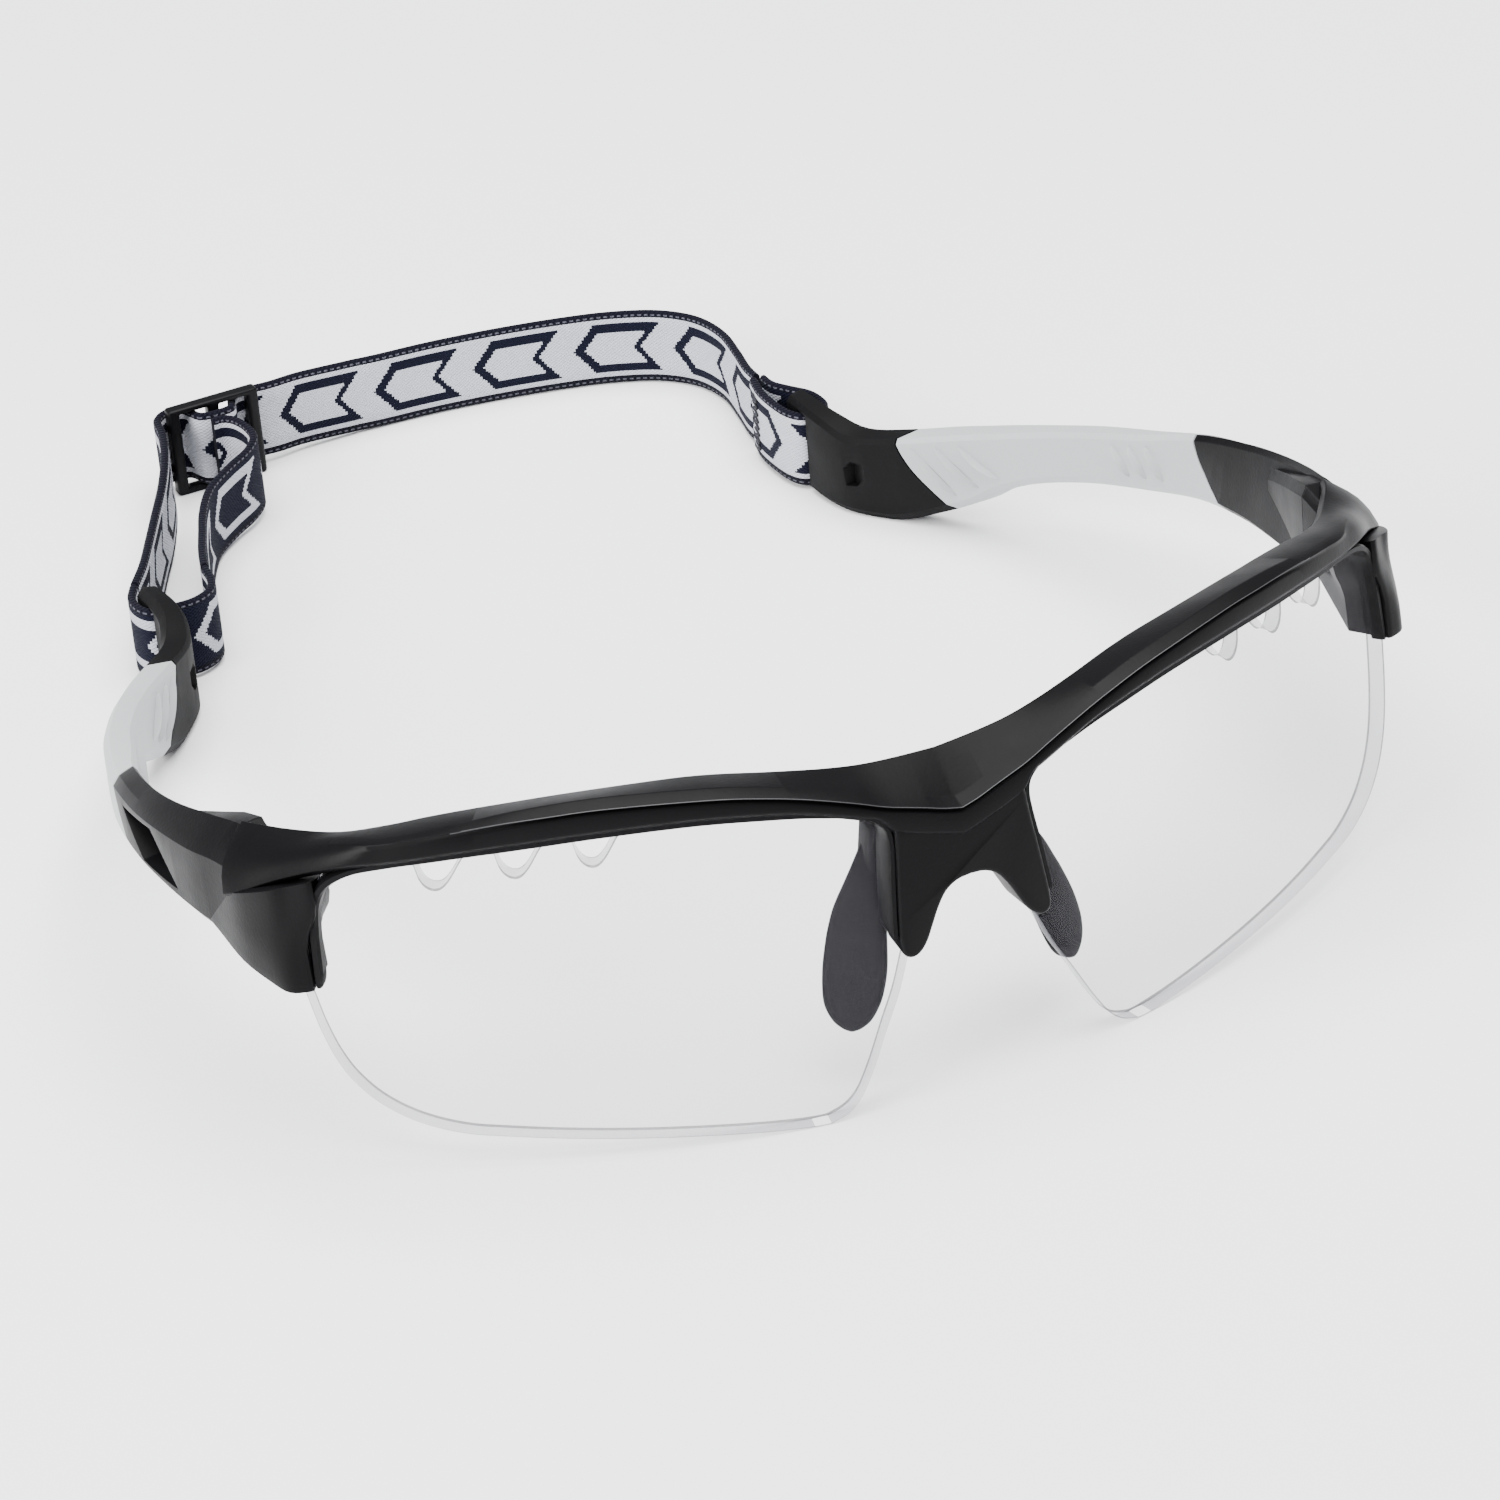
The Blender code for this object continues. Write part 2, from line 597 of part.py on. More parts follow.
def smooth_path(points, steps):
    """Points along a Catmull-Rom curve through the given plan points."""
    route = [Vector(p) for p in points]
    route = [2.0 * route[0] - route[1]] + route + [2.0 * route[-1] - route[-2]]
    made = []
    for a, b, c, d in zip(route, route[1:], route[2:], route[3:]):
        for i in range(steps):
            t = i / steps
            made.append(0.5 * (2.0 * b + (c - a) * t + (2.0 * a - 5.0 * b + 4.0 * c - d) * t * t
                               + (3.0 * b - a - 3.0 * c + d) * t ** 3))
    made.append(route[-2])
    return made


def ribbon(points, steps=3, foot=STRAP_FOOT, lift=None):
    """Webbing standing on edge along a plan route; lift(x, y) raises its lower edge."""
    path = smooth_path([(x, y) for x, y in points], steps)
    rings = []
    for i, here in enumerate(path):
        ahead = path[min(i + 1, len(path) - 1)] - path[max(i - 1, 0)]
        side = Vector((-ahead.y, ahead.x)).normalized() * (STRAP_THICKNESS / 2.0)
        low = lift(here.x, here.y) if lift else foot
        high = low + STRAP_WIDTH
        rings.append([(here.x - side.x, here.y - side.y, low), (here.x + side.x, here.y + side.y, low),
                      (here.x + side.x, here.y + side.y, high), (here.x - side.x, here.y - side.y, high)])
    return loft(rings)


LOOP_ROUTE = ((41.9, 136.6), (41.2, 133.0), (41.2, 129.2), (41.6, 126.2), (42.6, 124.4), (44.2, 124.2),
              (45.8, 124.5), (46.6, 126.4), (46.2, 129.2), (44.6, 131.8), (43.4, 134.0), (43.2, 136.4))
RIGHT_LOOP_ROUTE = ((-35.9, 131.0), (-36.2, 128.2), (-37.4, 125.6), (-40.0, 124.2), (-43.0, 124.2),
                    (-45.6, 124.5), (-46.6, 126.4), (-46.5, 129.0), (-45.1, 131.5))
BAND_ROUTE = ((42.7, 137.5), (42.9, 140.6), (43.8, 145.4), (44.5, 151.2), (43.4, 156.6), (40.2, 160.8),
              (35.6, 163.7), (30.0, 165.9), (21.0, 168.3), (11.0, 170.1), (1.0, 171.0), (-6.4, 171.0),
              (-10.6, 170.5), (-14.0, 170.6), (-16.0, 170.2), (-16.8, 168.8), (-17.5, 167.3), (-19.5, 166.95),
              (-21.5, 167.3), (-22.2, 168.8), (-22.9, 170.3), (-24.9, 170.8), (-26.8, 169.4), (-27.6, 165.6),
              (-29.4, 160.4), (-32.2, 154.4), (-35.7, 148.0), (-38.9, 142.0), (-41.9, 136.4), (-44.8, 132.1))
TAIL_ROUTE = ((-20.9, 165.15), (-19.5, 165.1), (-18.3, 163.8), (-17.7, 161.0), (-18.1, 158.2), (-20.2, 155.6),
              (-23.9, 153.0), (-27.6, 149.8), (-30.4, 145.2), (-32.6, 140.0), (-34.6, 135.0), (-35.7, 131.6))


def webbing_foot(x, y):
    """Height of the webbing's lower edge: raised at the tips and at the slider."""
    slider = smoothstep(26.0, 6.0, math.hypot(x - SLIDER_X, y - SLIDER_Y))
    tips = smoothstep(146.0, 132.0, y)
    return STRAP_FOOT + (SLIDER_LIFT * slider - BAND_SAG) * (1.0 - tips)


def make_strap():
    make_object("strap_loop_left", ribbon(LOOP_ROUTE, 3), webbing(), (HINGE_X, HINGE_Y, 0.0))
    make_object("strap_loop_right", ribbon(RIGHT_LOOP_ROUTE, 3), webbing(), (-HINGE_X, HINGE_Y, 0.0))
    make_object("strap_band", ribbon(BAND_ROUTE, 2, lift=webbing_foot), webbing())
    make_object("strap_tail", ribbon(TAIL_ROUTE, 3, lift=webbing_foot), webbing())


def make_slider():
    """Three-bar slider standing on its edge around the webbing."""
    half = 1.5 * SLIDER_BAR + SLIDER_WINDOW
    thick = SLIDER_THICKNESS / 2.0
    body = block((SLIDER_X - half, SLIDER_Y - thick, 0.0), (SLIDER_X + half, SLIDER_Y + thick, SLIDER_HEIGHT))
    for direction in (-1, 1):
        near = SLIDER_X + direction * SLIDER_BAR / 2.0
        far = near + direction * SLIDER_WINDOW
        window = block((min(near, far), SLIDER_Y - 3.0, SLIDER_RAIL),
                       (max(near, far), SLIDER_Y + 3.0, SLIDER_HEIGHT - SLIDER_RAIL))
        body = cut(body, window)
    make_object("strap_slider", body, slider_black(), (SLIDER_X, SLIDER_Y, 0.0))


def bartack(x, y, angle, low, high):
    """Row of lock stitches that fastens two layers of webbing, as one thin pad."""
    along = Vector((math.cos(angle), math.sin(angle), 0.0))
    across = Vector((-along.y, along.x, 0.0))
    centre = Vector((x, y, 0.0))
    return hull([centre + along * (0.9 * a) + across * (0.15 * b) + Vector((0.0, 0.0, z))
                 for a in (-1, 1) for b in (-1, 1) for z in (low, high)])


def make_bartacks():
    low = STRAP_FOOT + 1.2
    high = STRAP_FOOT + STRAP_WIDTH - 1.2
    left = bartack(40.4, 134.0, math.radians(82.0), low, high)
    make_object("bartack_left", left, thread())
    on_slider = bartack(-19.7, 166.1, 0.0, low + 0.4, high)
    make_object("bartack_slider", on_slider, thread(), (SLIDER_X, SLIDER_Y, 0.0))


def main():
    clear_scene()
    make_front_frame()
    make_lenses()
    make_nose_pads()
    make_hinge_screws()
    make_temples()
    make_strap()
    make_slider()
    make_bartacks()


main()
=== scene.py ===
"""Sports protective goggles: the visual model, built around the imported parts.

Sizes are in millimetres and become metres when a mesh is made. +X is the wearer's
left, -Y is the front, +Z is up. Shapes are drawn about the bridge, and SHIFT moves
them to the middle of the object.
"""
import math
from itertools import product

import bmesh
import bpy
from mathutils import Matrix, Vector


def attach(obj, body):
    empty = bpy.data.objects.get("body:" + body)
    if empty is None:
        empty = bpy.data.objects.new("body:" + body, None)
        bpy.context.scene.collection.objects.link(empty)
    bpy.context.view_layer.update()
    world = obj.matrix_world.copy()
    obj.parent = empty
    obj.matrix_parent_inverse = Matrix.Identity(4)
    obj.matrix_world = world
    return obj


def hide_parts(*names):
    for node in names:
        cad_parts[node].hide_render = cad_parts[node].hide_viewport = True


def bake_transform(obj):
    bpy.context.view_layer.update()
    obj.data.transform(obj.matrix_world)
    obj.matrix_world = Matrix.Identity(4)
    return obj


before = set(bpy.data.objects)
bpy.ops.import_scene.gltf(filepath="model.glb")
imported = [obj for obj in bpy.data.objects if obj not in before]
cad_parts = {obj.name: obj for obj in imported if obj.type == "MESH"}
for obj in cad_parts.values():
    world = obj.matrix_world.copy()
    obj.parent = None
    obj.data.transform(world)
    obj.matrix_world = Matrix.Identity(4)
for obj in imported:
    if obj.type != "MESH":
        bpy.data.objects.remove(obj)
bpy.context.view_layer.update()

MM = 0.001
SHIFT = Vector((0.0, -83.7, 0.0))
SIDES = (("right", -1), ("left", 1))
FRONT = "front"

# Lens surface: a cylinder round the face that leans forward at its foot
WRAP_RADIUS = 100.0
RAKE = 0.17
RAKE_HEIGHT = 32.5

# Frame and temple joints: y and z of a point on each, and the slope dy/dz
SEAM_UPPER = (31.8, 28.7, 0.78)
SEAM_LOWER = (31.8, 28.7, -0.96)
JOINT_GAP = 0.12

# Strap
STRAP_WIDTH = 10.2
STRAP_THICKNESS = 1.0
SLIDER = Vector((-19.5, 168.8, 0.0))
SLOT_Y = 124.2


# ------------------------------------------------------------------ helpers

def smoothstep(a, b, value):
    """Smooth rise from 0 at a to 1 at b."""
    t = min(max((value - a) / (b - a), 0.0), 1.0)
    return t * t * (3.0 - 2.0 * t)


def table(keys, value):
    """Value read from (position, value) keys, straight between neighbours."""
    if value <= keys[0][0]:
        return keys[0][1]
    for (a, low), (b, high) in zip(keys, keys[1:]):
        if value <= b:
            return low + (high - low) * (value - a) / (b - a)
    return keys[-1][1]


def curve(keys, steps):
    """Catmull-Rom curve through keys, each a tuple of any length."""
    rows = [Vector(k) for k in keys]
    rows = [2.0 * rows[0] - rows[1]] + rows + [2.0 * rows[-1] - rows[-2]]
    made = []
    for a, b, c, d in zip(rows, rows[1:], rows[2:], rows[3:]):
        for i in range(steps):
            t = i / steps
            made.append(0.5 * (2.0 * b + (c - a) * t + (2.0 * a - 5.0 * b + 4.0 * c - d) * t * t
                               + (3.0 * b - a - 3.0 * c + d) * t ** 3))
    made.append(rows[-2])
    return made


def smooth_table(keys, steps=6):
    """Keys thickened along a smooth curve, for use with table()."""
    return [(p[0], p[1]) for p in curve(keys, steps)]


def wrap(x, z, out=0.0):
    """Point at side x and height z on the lens cylinder, moved outward by out."""
    angle = math.asin(max(-0.98, min(0.98, x / WRAP_RADIUS)))
    radius = WRAP_RADIUS + out
    y = WRAP_RADIUS - radius * math.cos(angle) - RAKE * (RAKE_HEIGHT - z)
    return Vector((radius * math.sin(angle), y, z))


def outward(point):
    """How far a point lies outside the lens cylinder."""
    centre = WRAP_RADIUS - RAKE * (RAKE_HEIGHT - point.z)
    return math.hypot(point.x, point.y - centre) - WRAP_RADIUS


def loft(rings):
    """Closed body through rings of points, capped at both ends."""
    bm = bmesh.new()
    loops = [[bm.verts.new(p) for p in ring] for ring in rings]
    count = len(loops[0])
    for near, far in zip(loops, loops[1:]):
        for i in range(count):
            j = (i + 1) % count
            bm.faces.new((near[i], near[j], far[j], far[i]))
    bm.faces.new(loops[0])
    bm.faces.new(loops[-1])
    bmesh.ops.recalc_face_normals(bm, faces=bm.faces)
    return bm


def hull(points):
    """Smallest convex body round the points."""
    bm = bmesh.new()
    for p in points:
        bm.verts.new(p)
    bmesh.ops.convex_hull(bm, input=bm.verts)
    bmesh.ops.delete(bm, geom=[v for v in bm.verts if not v.link_faces], context="VERTS")
    bmesh.ops.dissolve_limit(bm, angle_limit=math.radians(2.0), verts=bm.verts, edges=bm.edges)
    bmesh.ops.recalc_face_normals(bm, faces=bm.faces)
    return bm


def block(low, high):
    """Box between two opposite corners."""
    return hull(product(*zip(low, high)))


def mirrored(bm, side):
    """Body drawn for the left side, turned over when side is -1."""
    if side < 0:
        bmesh.ops.scale(bm, verts=bm.verts, vec=(-1.0, 1.0, 1.0))
        bmesh.ops.reverse_faces(bm, faces=bm.faces)
    return bm


def joined(*parts):
    """One bmesh holding several bodies."""
    whole = bmesh.new()
    for bm in parts:
        mesh = bpy.data.meshes.new("part")
        bm.to_mesh(mesh)
        bm.free()
        whole.from_mesh(mesh)
        bpy.data.meshes.remove(mesh)
    return whole


def as_object(bm, name):
    """New object with the body as its mesh; the bmesh is used up."""
    mesh = bpy.data.meshes.new(name)
    bm.to_mesh(mesh)
    bm.free()
    obj = bpy.data.objects.new(name, mesh)
    bpy.context.scene.collection.objects.link(obj)
    return obj


def evaluated(obj):
    """The object's mesh after its modifiers, as a bmesh; the object is used up."""
    graph = bpy.context.evaluated_depsgraph_get()
    bm = bmesh.new()
    bm.from_mesh(obj.evaluated_get(graph).to_mesh())
    mesh = obj.data
    bpy.data.objects.remove(obj, do_unlink=True)
    bpy.data.meshes.remove(mesh)
    return bm


def cut(bm, *tools):
    """Body less other bodies, by exact Booleans."""
    for tool in tools:
        target = as_object(bm, "target")
        other = as_object(tool, "tool")
        modifier = target.modifiers.new("cut", "BOOLEAN")
        modifier.operation = "DIFFERENCE"
        modifier.solver = "EXACT"
        modifier.object = other
        bm = evaluated(target)
        mesh = other.data
        bpy.data.objects.remove(other, do_unlink=True)
        bpy.data.meshes.remove(mesh)
        bmesh.ops.remove_doubles(bm, verts=bm.verts, dist=0.002)
    return bm


def rounded(bm, width, angle=25.0, segments=3):
    """Body with its edges sharper than angle rounded off."""
    obj = as_object(bm, "round")
    modifier = obj.modifiers.new("bevel", "BEVEL")
    modifier.width = width
    modifier.segments = segments
    modifier.limit_method = "ANGLE"
    modifier.angle_limit = math.radians(angle)
    modifier.harden_normals = False
    modifier.use_clamp_overlap = True
    return evaluated(obj)


def sliced(bm, joint, offset):
    """Part of a temple behind a sloping joint, with a flat capped face."""
    y, z, slope = joint
    normal = Vector((0.0, 1.0, -slope)).normalized()
    point = Vector((0.0, y, z)) + normal * offset
    geometry = bm.verts[:] + bm.edges[:] + bm.faces[:]
    made = bmesh.ops.bisect_plane(bm, geom=geometry, plane_co=point, plane_no=normal, dist=0.0001,
                                  clear_inner=True, clear_outer=False)
    edges = [e for e in made["geom_cut"] if isinstance(e, bmesh.types.BMEdge)]
    bmesh.ops.edgeloop_fill(bm, edges=edges)
    bmesh.ops.recalc_face_normals(bm, faces=bm.faces)
    return bm


def prism(profile, x_low, x_high):
    """Body with one outline of (y, z) points, drawn out along x."""
    return loft([[(x, y, z) for y, z in profile] for x in (x_low, x_high)])


def piece(name, bm, materials, body, nodes=(), sharp=38.0):
    """Finished object on its body, standing for the given CAD nodes."""
    bmesh.ops.recalc_face_normals(bm, faces=bm.faces)
    bmesh.ops.translate(bm, verts=bm.verts, vec=SHIFT)
    bmesh.ops.scale(bm, verts=bm.verts, vec=(MM, MM, MM))
    obj = as_object(bm, name)
    for mat in materials if isinstance(materials, (list, tuple)) else [materials]:
        obj.data.materials.append(mat)
    obj.data.shade_smooth()
    obj.data.set_sharp_from_angle(angle=math.radians(sharp))
    if body:
        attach(obj, body)
    if nodes:
        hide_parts(*nodes)
    return obj


# ------------------------------------------------------------------ materials

def new_material(name, color, roughness, **sockets):
    """Material with its Principled shader set; socket names have _ for a space."""
    mat = bpy.data.materials.new(name)
    mat.use_nodes = True
    shader = mat.node_tree.nodes["Principled BSDF"]
    shader.inputs["Base Color"].default_value = (*color, 1.0)
    shader.inputs["Roughness"].default_value = roughness
    for key, value in sockets.items():
        shader.inputs[key.replace("_", " ")].default_value = value
    return mat, mat.node_tree, shader


def node(tree, kind, values=(), **settings):
    """Shader node with (socket, value or link) pairs and its own settings."""
    made = tree.nodes.new(kind)
    for key, value in settings.items():
        setattr(made, key, value)
    for index, value in values:
        if isinstance(value, bpy.types.NodeSocket):
            tree.links.new(value, made.inputs[index])
        else:
            made.inputs[index].default_value = value
    return made


def calc(tree, operation, *values, clamp=False):
    """Result of a Math node."""
    return node(tree, "ShaderNodeMath", enumerate(values), operation=operation, use_clamp=clamp).outputs[0]


def mix_color(tree, factor, a, b):
    """Colour a, turning into colour b as the factor rises to 1."""
    return node(tree, "ShaderNodeMix", ((0, factor), (6, a), (7, b)), data_type="RGBA").outputs[2]


def scaled_color(tree, color, factor):
    """Colour times a factor, as a link."""
    return node(tree, "ShaderNodeVectorMath", ((0, color), ("Scale", factor)), operation="SCALE").outputs[0]


def link_bump(tree, shader, strength, distance, height):
    """Relief of a height link, its distance in millimetres."""
    bump = node(tree, "ShaderNodeBump", (("Strength", strength), ("Distance", distance * MM),
                                         ("Height", height)))
    tree.links.new(bump.outputs[0], shader.inputs["Normal"])


def link_gloss(tree, shader, noise, low, high, smooth, rough):
    """Roughness that goes from smooth to rough as the noise rises from low to high."""
    gloss = node(tree, "ShaderNodeMapRange", ((0, noise), (1, low), (2, high), (3, smooth), (4, rough)))
    tree.links.new(gloss.outputs[0], shader.inputs["Roughness"])


def moulded(name, color, roughness, grain, grain_scale, edge_wear_and_highlight=0.0, variation=0.25, **sockets):
    """Moulded plastic or rubber: fine texture in the bump, uneven gloss and tone."""
    mat, tree, shader = new_material(name, color, roughness, **sockets)
    place = node(tree, "ShaderNodeTexCoord").outputs["Object"]
    fine = node(tree, "ShaderNodeTexNoise", ((0, place), ("Scale", grain_scale), ("Detail", 3.0)))
    broad = node(tree, "ShaderNodeTexNoise", ((0, place), ("Scale", 90.0), ("Detail", 4.0),
                                              ("Roughness", 0.6)))
    shade = calc(tree, "MULTIPLY_ADD", broad.outputs[0], variation, 1.0 - variation * 0.5)
    color_out = scaled_color(tree, color, shade)
    # Convex edges turned lighter: partly rubbed wear, partly painted highlight on the edges
    if edge_wear_and_highlight:
        edge = node(tree, "ShaderNodeNewGeometry").outputs["Pointiness"]
        rubbed_and_lit_edge = node(tree, "ShaderNodeMapRange", ((0, edge), (1, 0.52), (2, 0.60), (3, 0.0), (4, edge_wear_and_highlight)))
        lighter = tuple(min(1.0, c * 2.2 + 0.02) for c in color) + (1.0,)
        color_out = mix_color(tree, rubbed_and_lit_edge.outputs[0], color_out, lighter)
    tree.links.new(color_out, shader.inputs["Base Color"])
    link_gloss(tree, shader, broad.outputs[0], 0.3, 0.7, roughness - 0.06, roughness + 0.06)
    link_bump(tree, shader, 0.35, grain, fine.outputs[0])
    return mat


def clear_lens(name, color, alpha, roughness):
    """Clear sheet: mostly see-through, with faint wiping marks in its gloss."""
    mat, tree, shader = new_material(name, color, roughness, Alpha=alpha, Specular_IOR_Level=0.25)
    place = node(tree, "ShaderNodeTexCoord").outputs["Object"]
    haze = node(tree, "ShaderNodeTexNoise", ((0, place), ("Scale", 60.0), ("Detail", 5.0),
                                             ("Distortion", 0.6)))
    link_gloss(tree, shader, haze.outputs[0], 0.35, 0.75, roughness, roughness + 0.04)
    return mat


# Pattern of the strap: start and end of its cell, end of the chevron in it, the chevron's half height
# and its outline's width
CELL_START = 0.5
CELL_END = 14.0
CHEVRON_END = 9.4
CHEVRON_HEIGHT = 3.5
CHEVRON_LINE = 1.5
# Selvedge: its width, and the two edges of the dotted line, from the strap's edge inward
SELVEDGE = 0.95
DOTS = (0.62, 0.36)


def webbing_material(name, field, mark, edge, tick):
    """Woven strap: outlined chevrons on a plain field, dark edges and a dotted line.

    The UV map holds millimetres along the strap and across it, both over 100.
    """
    mat, tree, shader = new_material(name, field, 0.85, Sheen_Weight=0.02, Specular_IOR_Level=0.08)
    uv = node(tree, "ShaderNodeUVMap", uv_map="strap").outputs[0]
    split = node(tree, "ShaderNodeSeparateXYZ", ((0, uv),))
    along = calc(tree, "MULTIPLY", split.outputs[0], 100.0)
    across = calc(tree, "MULTIPLY", split.outputs[1], 100.0)
    stepped_along = calc(tree, "SNAP", along, 0.30)
    stepped_across = calc(tree, "SNAP", across, 0.22)
    middle = calc(tree, "SUBTRACT", stepped_across, STRAP_WIDTH / 2.0)
    # outlined chevrons
    height = calc(tree, "ABSOLUTE", middle)
    point = calc(tree, "ADD", stepped_along, calc(tree, "MULTIPLY", height, 0.8))
    cell = calc(tree, "WRAP", point, CELL_END, CELL_START)
    arrow = calc(tree, "MULTIPLY", calc(tree, "LESS_THAN", cell, CHEVRON_END),
                 calc(tree, "LESS_THAN", height, CHEVRON_HEIGHT))
    hollow = calc(tree, "MULTIPLY", calc(tree, "GREATER_THAN", cell, CHEVRON_LINE),
                  calc(tree, "LESS_THAN", cell, CHEVRON_END - CHEVRON_LINE))
    hollow = calc(tree, "MULTIPLY", hollow, calc(tree, "LESS_THAN", height, CHEVRON_HEIGHT - 1.2))
    pattern = calc(tree, "SUBTRACT", arrow, hollow, clamp=True)
    color = mix_color(tree, pattern, (*field, 1.0), (*mark, 1.0))
    # dark selvedge with a dotted line along its inside
    rim = calc(tree, "GREATER_THAN", height, STRAP_WIDTH / 2.0 - SELVEDGE)
    dots = calc(tree, "MULTIPLY", calc(tree, "GREATER_THAN", height, STRAP_WIDTH / 2.0 - DOTS[0]),
                calc(tree, "LESS_THAN", height, STRAP_WIDTH / 2.0 - DOTS[1]))
    beat = calc(tree, "GREATER_THAN", calc(tree, "PINGPONG", along, 0.45), 0.2)
    dots = calc(tree, "MULTIPLY", dots, beat)
    color = mix_color(tree, rim, color, (*edge, 1.0))
    color = mix_color(tree, dots, color, (*tick, 1.0))
    # plain weave: warp ribs along the strap crossed by finer picks
    warp = calc(tree, "SINE", calc(tree, "MULTIPLY", across, math.tau / 0.44))
    weft = calc(tree, "SINE", calc(tree, "MULTIPLY", along, math.tau / 0.60))
    weave = calc(tree, "MULTIPLY", warp, weft)
    fuzz = node(tree, "ShaderNodeTexNoise", ((0, uv), ("Scale", 900.0), ("Detail", 3.0)))
    shade = calc(tree, "MULTIPLY_ADD", weave, 0.10, 0.86)
    shade = calc(tree, "ADD", shade, calc(tree, "MULTIPLY", fuzz.outputs[0], 0.14))
    tree.links.new(scaled_color(tree, color, shade), shader.inputs["Base Color"])
    relief = calc(tree, "ADD", weave, calc(tree, "MULTIPLY", fuzz.outputs[0], 0.8))
    link_bump(tree, shader, 0.7, 0.12, relief)
    return mat


NAVY = (0.0035, 0.0042, 0.013)
WHITE = (0.50, 0.51, 0.56)
WHITE_ON_NAVY = (0.46, 0.47, 0.52)
SELVEDGE_NAVY = (0.003, 0.003, 0.008)
DOT_GREY = (0.08, 0.08, 0.10)

frame_black = moulded("frame_black", (0.0022, 0.0021, 0.0025), 0.42, 0.05, 2600.0, edge_wear_and_highlight=0.05,
                      variation=0.15, Specular_IOR_Level=0.08)
rubber_black = moulded("rubber_black", (0.0028, 0.0028, 0.0031), 0.6, 0.06, 2200.0, Specular_IOR_Level=0.08)
pad_rubber = moulded("pad_rubber", (0.0036, 0.0034, 0.0037), 0.55, 0.05, 2400.0, Specular_IOR_Level=0.06)
# Crest of the brow's ridge: a lighter colour as painted highlight, with higher gloss
ridge_painted_highlight = moulded("ridge_painted_highlight", (0.030, 0.030, 0.032), 0.35, 0.03, 2600.0, Specular_IOR_Level=0.30)
grip_grey = moulded("grip_grey", (0.36, 0.375, 0.38), 0.55, 0.05, 2400.0, variation=0.08)
slider_black = moulded("slider_black", (0.0024, 0.0024, 0.0030), 0.42, 0.04, 2400.0, edge_wear_and_highlight=0.05,
                       Specular_IOR_Level=0.10)
steel = moulded("steel", (0.3, 0.3, 0.32), 0.35, 0.02, 3000.0, Metallic=1.0)
lens_face = clear_lens("lens_face", (0.15, 0.145, 0.17), 0.060, 0.015)
# Bevels and rim of the lens: grey, partly opaque colours as painted shade for refraction at the edges
lens_bevel_painted_shade = clear_lens("lens_bevel_painted_shade", (0.06, 0.06, 0.07), 0.75, 0.12)
lens_rim_painted_shade = clear_lens("lens_rim_painted_shade", (0.30, 0.30, 0.34), 0.42, 0.2)
webbing_front = webbing_material("webbing_front", WHITE, NAVY, SELVEDGE_NAVY, DOT_GREY)
webbing_back = webbing_material("webbing_back", NAVY, WHITE_ON_NAVY, SELVEDGE_NAVY, DOT_GREY)
thread = moulded("thread", (0.010, 0.010, 0.016), 0.7, 0.05, 3000.0)


# ------------------------------------------------------------------ lenses

# Outlines of the lens as (x, z): the brow's lower edge above it, and its own lower edge
BROW_LOW = smooth_table(((0.0, 29.2), (7.5, 31.6), (8.6, 33.2), (10.6, 34.5), (13.6, 35.4), (19.0, 36.6),
                         (28.0, 37.7), (38.0, 37.75), (48.0, 36.9), (56.0, 35.6), (59.5, 34.9),
                         (61.8, 34.0), (63.4, 32.2), (64.4, 29.6), (64.8, 27.0), (67.5, 26.0)))
LENS_FOOT = ((6.9, 19.0), (8.0, 16.2), (9.5, 12.6), (11.3, 9.2), (13.6, 4.7), (15.6, 1.7), (18.0, 0.25),
             (21.5, 0.05), (35.0, 1.4), (50.0, 2.8), (55.0, 3.3), (59.0, 4.5), (62.0, 6.4), (64.0, 8.8),
             (65.2, 11.4), (66.0, 14.4), (66.5, 17.4), (67.0, 21.0))
LENS_INNER = 6.9
LENS_THICKNESS = 2.0
LENS_BEVEL = 0.2
LENS_TUCK = 1.4                # how far the lens reaches up into the brow

# Vents: where they are, their outline about the centre, and the stretch with fine columns
VENT_CENTRES = (38.1, 45.6, 53.1)
VENT_KEYS = smooth_table(((-4.0, 1.4), (-3.3, 0.2), (-2.1, -1.5), (-0.8, -3.4), (0.2, -4.2), (1.2, -3.9),
                          (1.9, -2.6), (2.3, 0.2), (2.5, 1.4)))
VENT_ZONE = (34.5, 57.5)
VENT_STEP = 0.25


def lens_top(x):
    """Height of the lens's upper edge, with the vents cut down into it."""
    edge = table(BROW_LOW, x)
    top = edge + LENS_TUCK
    for centre in VENT_CENTRES:
        if VENT_KEYS[0][0] < x - centre < VENT_KEYS[-1][0]:
            top = min(top, edge + table(VENT_KEYS, x - centre))
    return top


def lens():
    """Lens sheet; its bevels take the second material and its rim the third, greyer and less clear, as
    painted shade for how refraction darkens the edges of clear plastic.
    """
    columns = [LENS_INNER]
    for p in curve(LENS_FOOT, 8):
        if p[0] > columns[-1] + 0.04:
            columns.append(p[0])
    start, end = VENT_ZONE
    columns = [x for x in columns if not start < x < end]
    columns += [start + VENT_STEP * i for i in range(round((end - start) / VENT_STEP) + 1)]
    foot = smooth_table(LENS_FOOT, 10)
    rings = []
    bevel = LENS_BEVEL
    back = -LENS_THICKNESS
    for x in sorted(columns):
        low = table(foot, x)
        high = lens_top(x)
        section = ((low + bevel, 0.0), (high - bevel, 0.0), (high, -bevel), (high, back + bevel),
                   (high - bevel, back), (low + bevel, back), (low, back + bevel), (low, -bevel))
        rings.append([wrap(x, z, out) for z, out in section])
    bm = loft(rings)
    for face in bm.faces:
        outs = [outward(v.co) for v in face.verts]
        spread = max(outs) - min(outs)
        face.material_index = 0 if spread < 0.05 else 1 if spread < 1.0 else 2
    return bm


for label, side in SIDES:
    piece(f"lens_{label}_visual", mirrored(lens(), side), (lens_face, lens_bevel_painted_shade, lens_rim_painted_shade), FRONT,
          (f"lens_{label}",))


# ------------------------------------------------------------------ front frame

